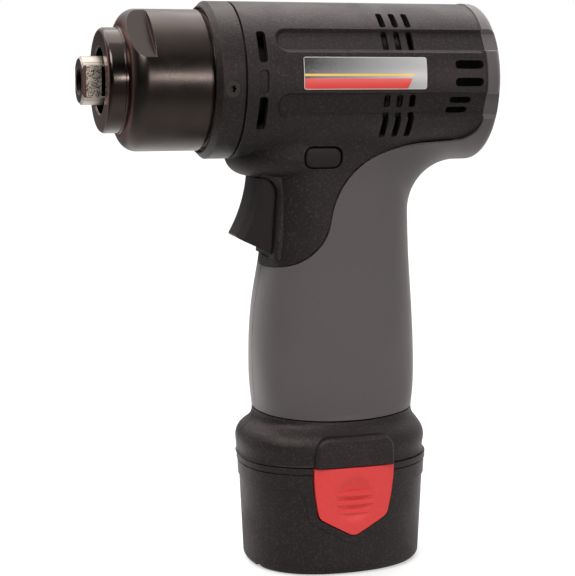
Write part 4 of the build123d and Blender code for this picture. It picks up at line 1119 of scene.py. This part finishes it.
@dataclass
class Springs(Assembly):
    """Coil springs, dressed as smooth copies of themselves."""

    crease: float = 40.0

    def build(self) -> None:
        """Dresses each spring."""
        self.coil("trigger_spring", "trigger", Vector((1, 0, 0)))
        self.coil("latch_spring_left", "latch_left", Vector((0, 1, 0)))
        self.coil("latch_spring_right", "latch_right", Vector((0, -1, 0)))

    def coil(self, node: str, moving: str, outward: Vector) -> None:
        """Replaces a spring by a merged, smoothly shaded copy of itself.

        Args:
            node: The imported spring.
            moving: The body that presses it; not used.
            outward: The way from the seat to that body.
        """
        low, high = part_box(node)
        reach = outward * abs((high - low).dot(outward)) / 2
        mesh = self.shop.merged(node)
        mesh.set_sharp_from_angle(angle=math.radians(self.crease))
        piece = add_object(f"{node}_piece", mesh)
        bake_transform(piece)
        self.shop.settle(piece, SPRING, node)


@dataclass
class InnerWorks:
    """Motor, gears, bearings, cells and leads inside the shells."""

    shop: Shop

    def build(self) -> None:
        """Gives every node that has no piece of its own the finish of its slot."""
        by_slot = {finish.slot: finish for finish in (STEEL, SCREW, *INNER)}
        for node, slot in self.shop.slot_of.items():
            if self.shop.nodes[node].hide_render:
                continue
            for holder in self.shop.nodes[node].material_slots:
                holder.link = "OBJECT"
                holder.material = by_slot[slot].material()
            LOG.info("%s wears %s", node, by_slot[slot].name)


@dataclass(frozen=True)
class Lamp:
    """A soft box.

    Attributes:
        name: The lamp's name.
        place: Where it hangs, in metres.
        size: Its width and height in metres.
        power: Its power in watts.
    """

    name: str
    place: tuple[float, float, float]
    size: tuple[float, float]
    power: float


@dataclass
class Studio:
    """Pale floor, soft lamps, world and the camera of the photograph.

    Attributes:
        eye: Where the camera stands.
        aim: What it looks at.
        roll: Its roll in degrees.
        focal_px: Its focal length in pixels of the picture.
        image_height: The picture's height in pixels.
        sensor: The sensor's height in millimetres.
        head: The middle of the tool's front, which mirrors the floor.
        lit: What the lamps look at.
        warmth: Colour of the lamps and the surround.
        floor_half: Half the floor's width in metres.
        floor_greys: The floor's grey under the object and far from it.
        lamps: The soft boxes.
    """

    eye: Vector = Vector((198.73, 560.17, 209.24)) * MM
    aim: Vector = Vector((18.66, 0.0, 104.75)) * MM
    roll: float = 0.78
    focal_px: float = 1606.5
    image_height: float = 576.0
    sensor: float = 24.0
    head: Vector = Vector((80.0, 0.0, 180.0)) * MM
    lit: Vector = Vector((0.0, 0.0, 0.14))
    warmth: Colour = (1.0, 0.97, 0.95)
    floor_half: float = 6.0
    floor_greys: tuple[float, float] = (0.5, 0.10)
    lamps: tuple[Lamp, ...] = (
        Lamp("nose_box", (-0.36, 1.20, 0.37), (0.50, 0.07), 4.5),
        Lamp("overhead", (0.0, -0.50, 1.15), (2.0, 1.1), 17.0),
        Lamp("key", (0.62, 0.72, 1.25), (0.8, 0.6), 15.0),
    )

    # Surface of the floor, its shading by distance and that of the surround by direction
    FLOOR_ROUGHNESS = 0.9
    FLOOR_SHINE = 0.1
    FLOOR_FADE = Ramp(0.12, 0.40)
    FLOOR_GLOW = Ramp(0.10, 0.45, 0.5, 1.0)
    FLOOR_MIRRORED = Ramp(-0.15, 0.05, 0.7, 0.0)
    SURROUND = Ramp(-0.20, 0.55, 0.95, 0.02)
    ZENITH = Ramp(0.60, 0.98, 0.0, 0.9)
    CARD = Ramp(0.86, 0.97, 1.0, 0.08)

    def build(self) -> None:
        """Sets up everything round the object."""
        self.camera()
        self.floor()
        self.world()
        for lamp in self.lamps:
            self.hang(lamp)
        bpy.context.scene.view_settings.view_transform = "Standard"

    def camera(self) -> None:
        """Places the camera at the photograph's standpoint."""
        back = self.toward()
        right = Vector((0, 0, 1)).cross(back).normalized()
        up = back.cross(right)
        turn = math.radians(self.roll)
        across = math.cos(turn) * right + math.sin(turn) * up
        high = math.cos(turn) * up - math.sin(turn) * right
        data = bpy.data.cameras.new("photo_camera")
        data.sensor_fit = "VERTICAL"
        data.sensor_height = self.sensor
        data.lens = self.focal_px / self.image_height * self.sensor
        made = add_object("photo_camera", data)
        facing = Matrix((across, high, back)).transposed().to_4x4()
        made.matrix_world = Matrix.Translation(self.eye) @ facing
        bpy.context.scene.camera = made

    def hang(self, lamp: Lamp) -> None:
        """Adds a soft box that looks at the tool.

        Args:
            lamp: The soft box.
        """
        data = bpy.data.lights.new(lamp.name, "AREA")
        data.shape = "RECTANGLE"
        data.size, data.size_y = lamp.size
        data.energy = lamp.power
        data.color = self.warmth
        made = add_object(lamp.name, data)
        made.location = lamp.place
        way = self.lit - Vector(lamp.place)
        made.rotation_euler = way.to_track_quat("-Z", "Y").to_euler()

    def floor(self) -> None:
        """Lays a wide pale floor that keeps the object's shadow and is clear from below."""
        mesh = bpy.data.meshes.new("studio_floor")
        half = self.floor_half
        corners = [(-half, -half, 0), (half, -half, 0), (half, half, 0), (-half, half, 0)]
        mesh.from_pydata(corners, [], [(0, 1, 2, 3)])
        made = add_object("studio_floor", mesh)
        finish, bench, shader = new_material("pale_floor")
        path = bench.node("ShaderNodeLightPath").outputs
        place = bench.object_place()
        reach = bench.node("ShaderNodeVectorMath", {0: place}, operation="LENGTH").outputs["Value"]
        near, far = (shade(WHITE, grey) for grey in self.floor_greys)
        pale = bench.mix(bench.remap(reach, self.FLOOR_FADE), near, far)
        glow = bench.remap(reach, self.FLOOR_GLOW)
        seen = bench.times(path["Is Camera Ray"], glow)
        behind = bench.remap(bench.dot(place, self.toward()), self.FLOOR_MIRRORED)
        pair = {0: place, 1: self.head}
        way = bench.node("ShaderNodeVectorMath", pair, operation="SUBTRACT").outputs[0]
        way = bench.node("ShaderNodeVectorMath", {0: way}, operation="NORMALIZE").outputs[0]
        behind = bench.times(behind, self.card(bench, way))
        mirrored = bench.times(path["Is Glossy Ray"], behind)
        under = bench.node("ShaderNodeNewGeometry").outputs["Backfacing"]
        surface = {
            "Base Color": pale,
            "Roughness": self.FLOOR_ROUGHNESS,
            "Specular IOR Level": self.FLOOR_SHINE,
            "Emission Color": shade(WHITE),
            "Emission Strength": bench.maths("MAXIMUM", seen, mirrored),
            "Alpha": bench.maths("SUBTRACT", 1.0, under),
        }
        bench.fill(shader, surface)
        mesh.materials.append(finish)

    def world(self) -> None:
        """Makes a white surround that is dimmer on the camera's side of the object."""
        world = bpy.data.worlds.new("studio")
        bpy.context.scene.world = world
        world.use_nodes = True
        bench = Bench(world.node_tree)
        shader = world.node_tree.nodes["Background"]
        path = bench.node("ShaderNodeLightPath").outputs
        way = bench.node("ShaderNodeTexCoord").outputs["Generated"]
        dim = bench.remap(bench.dot(way, self.toward()), self.SURROUND)
        dim = bench.maths("MAXIMUM", dim, bench.remap(bench.axes(way)[2], self.ZENITH))
        dim = bench.times(dim, self.card(bench, way))
        seen = bench.maths("MAXIMUM", path["Is Camera Ray"], path["Is Transmission Ray"])
        plain = bench.times(seen, bench.maths("SUBTRACT", 1.0, dim))
        colour = bench.mix(seen, shade(self.warmth), shade(WHITE))
        bench.fill(shader, {"Color": colour, "Strength": bench.maths("ADD", dim, plain)})

    def toward(self) -> Vector:
        """Gives the way from the object to the camera of the photograph."""
        return (self.eye - self.aim).normalized()

    def card(self, bench: Bench, way: NodeSocket) -> NodeSocket:
        """Gives the shade of a dark card that the tool's front faces mirror, by the way to it."""
        mirrored = self.toward() * Vector((1, -1, -1))
        return bench.remap(bench.dot(way, mirrored), self.CARD)


def main() -> None:
    """Builds the dressed object and its studio."""
    logging.basicConfig(level=logging.INFO, format="%(message)s")
    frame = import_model()
    shop = Shop(frame)
    for group in (Casing, Screws, Controls, Springs, Battery, InnerWorks):
        group(shop).build()
    Studio().build()


if __name__ == "__main__":
    main()
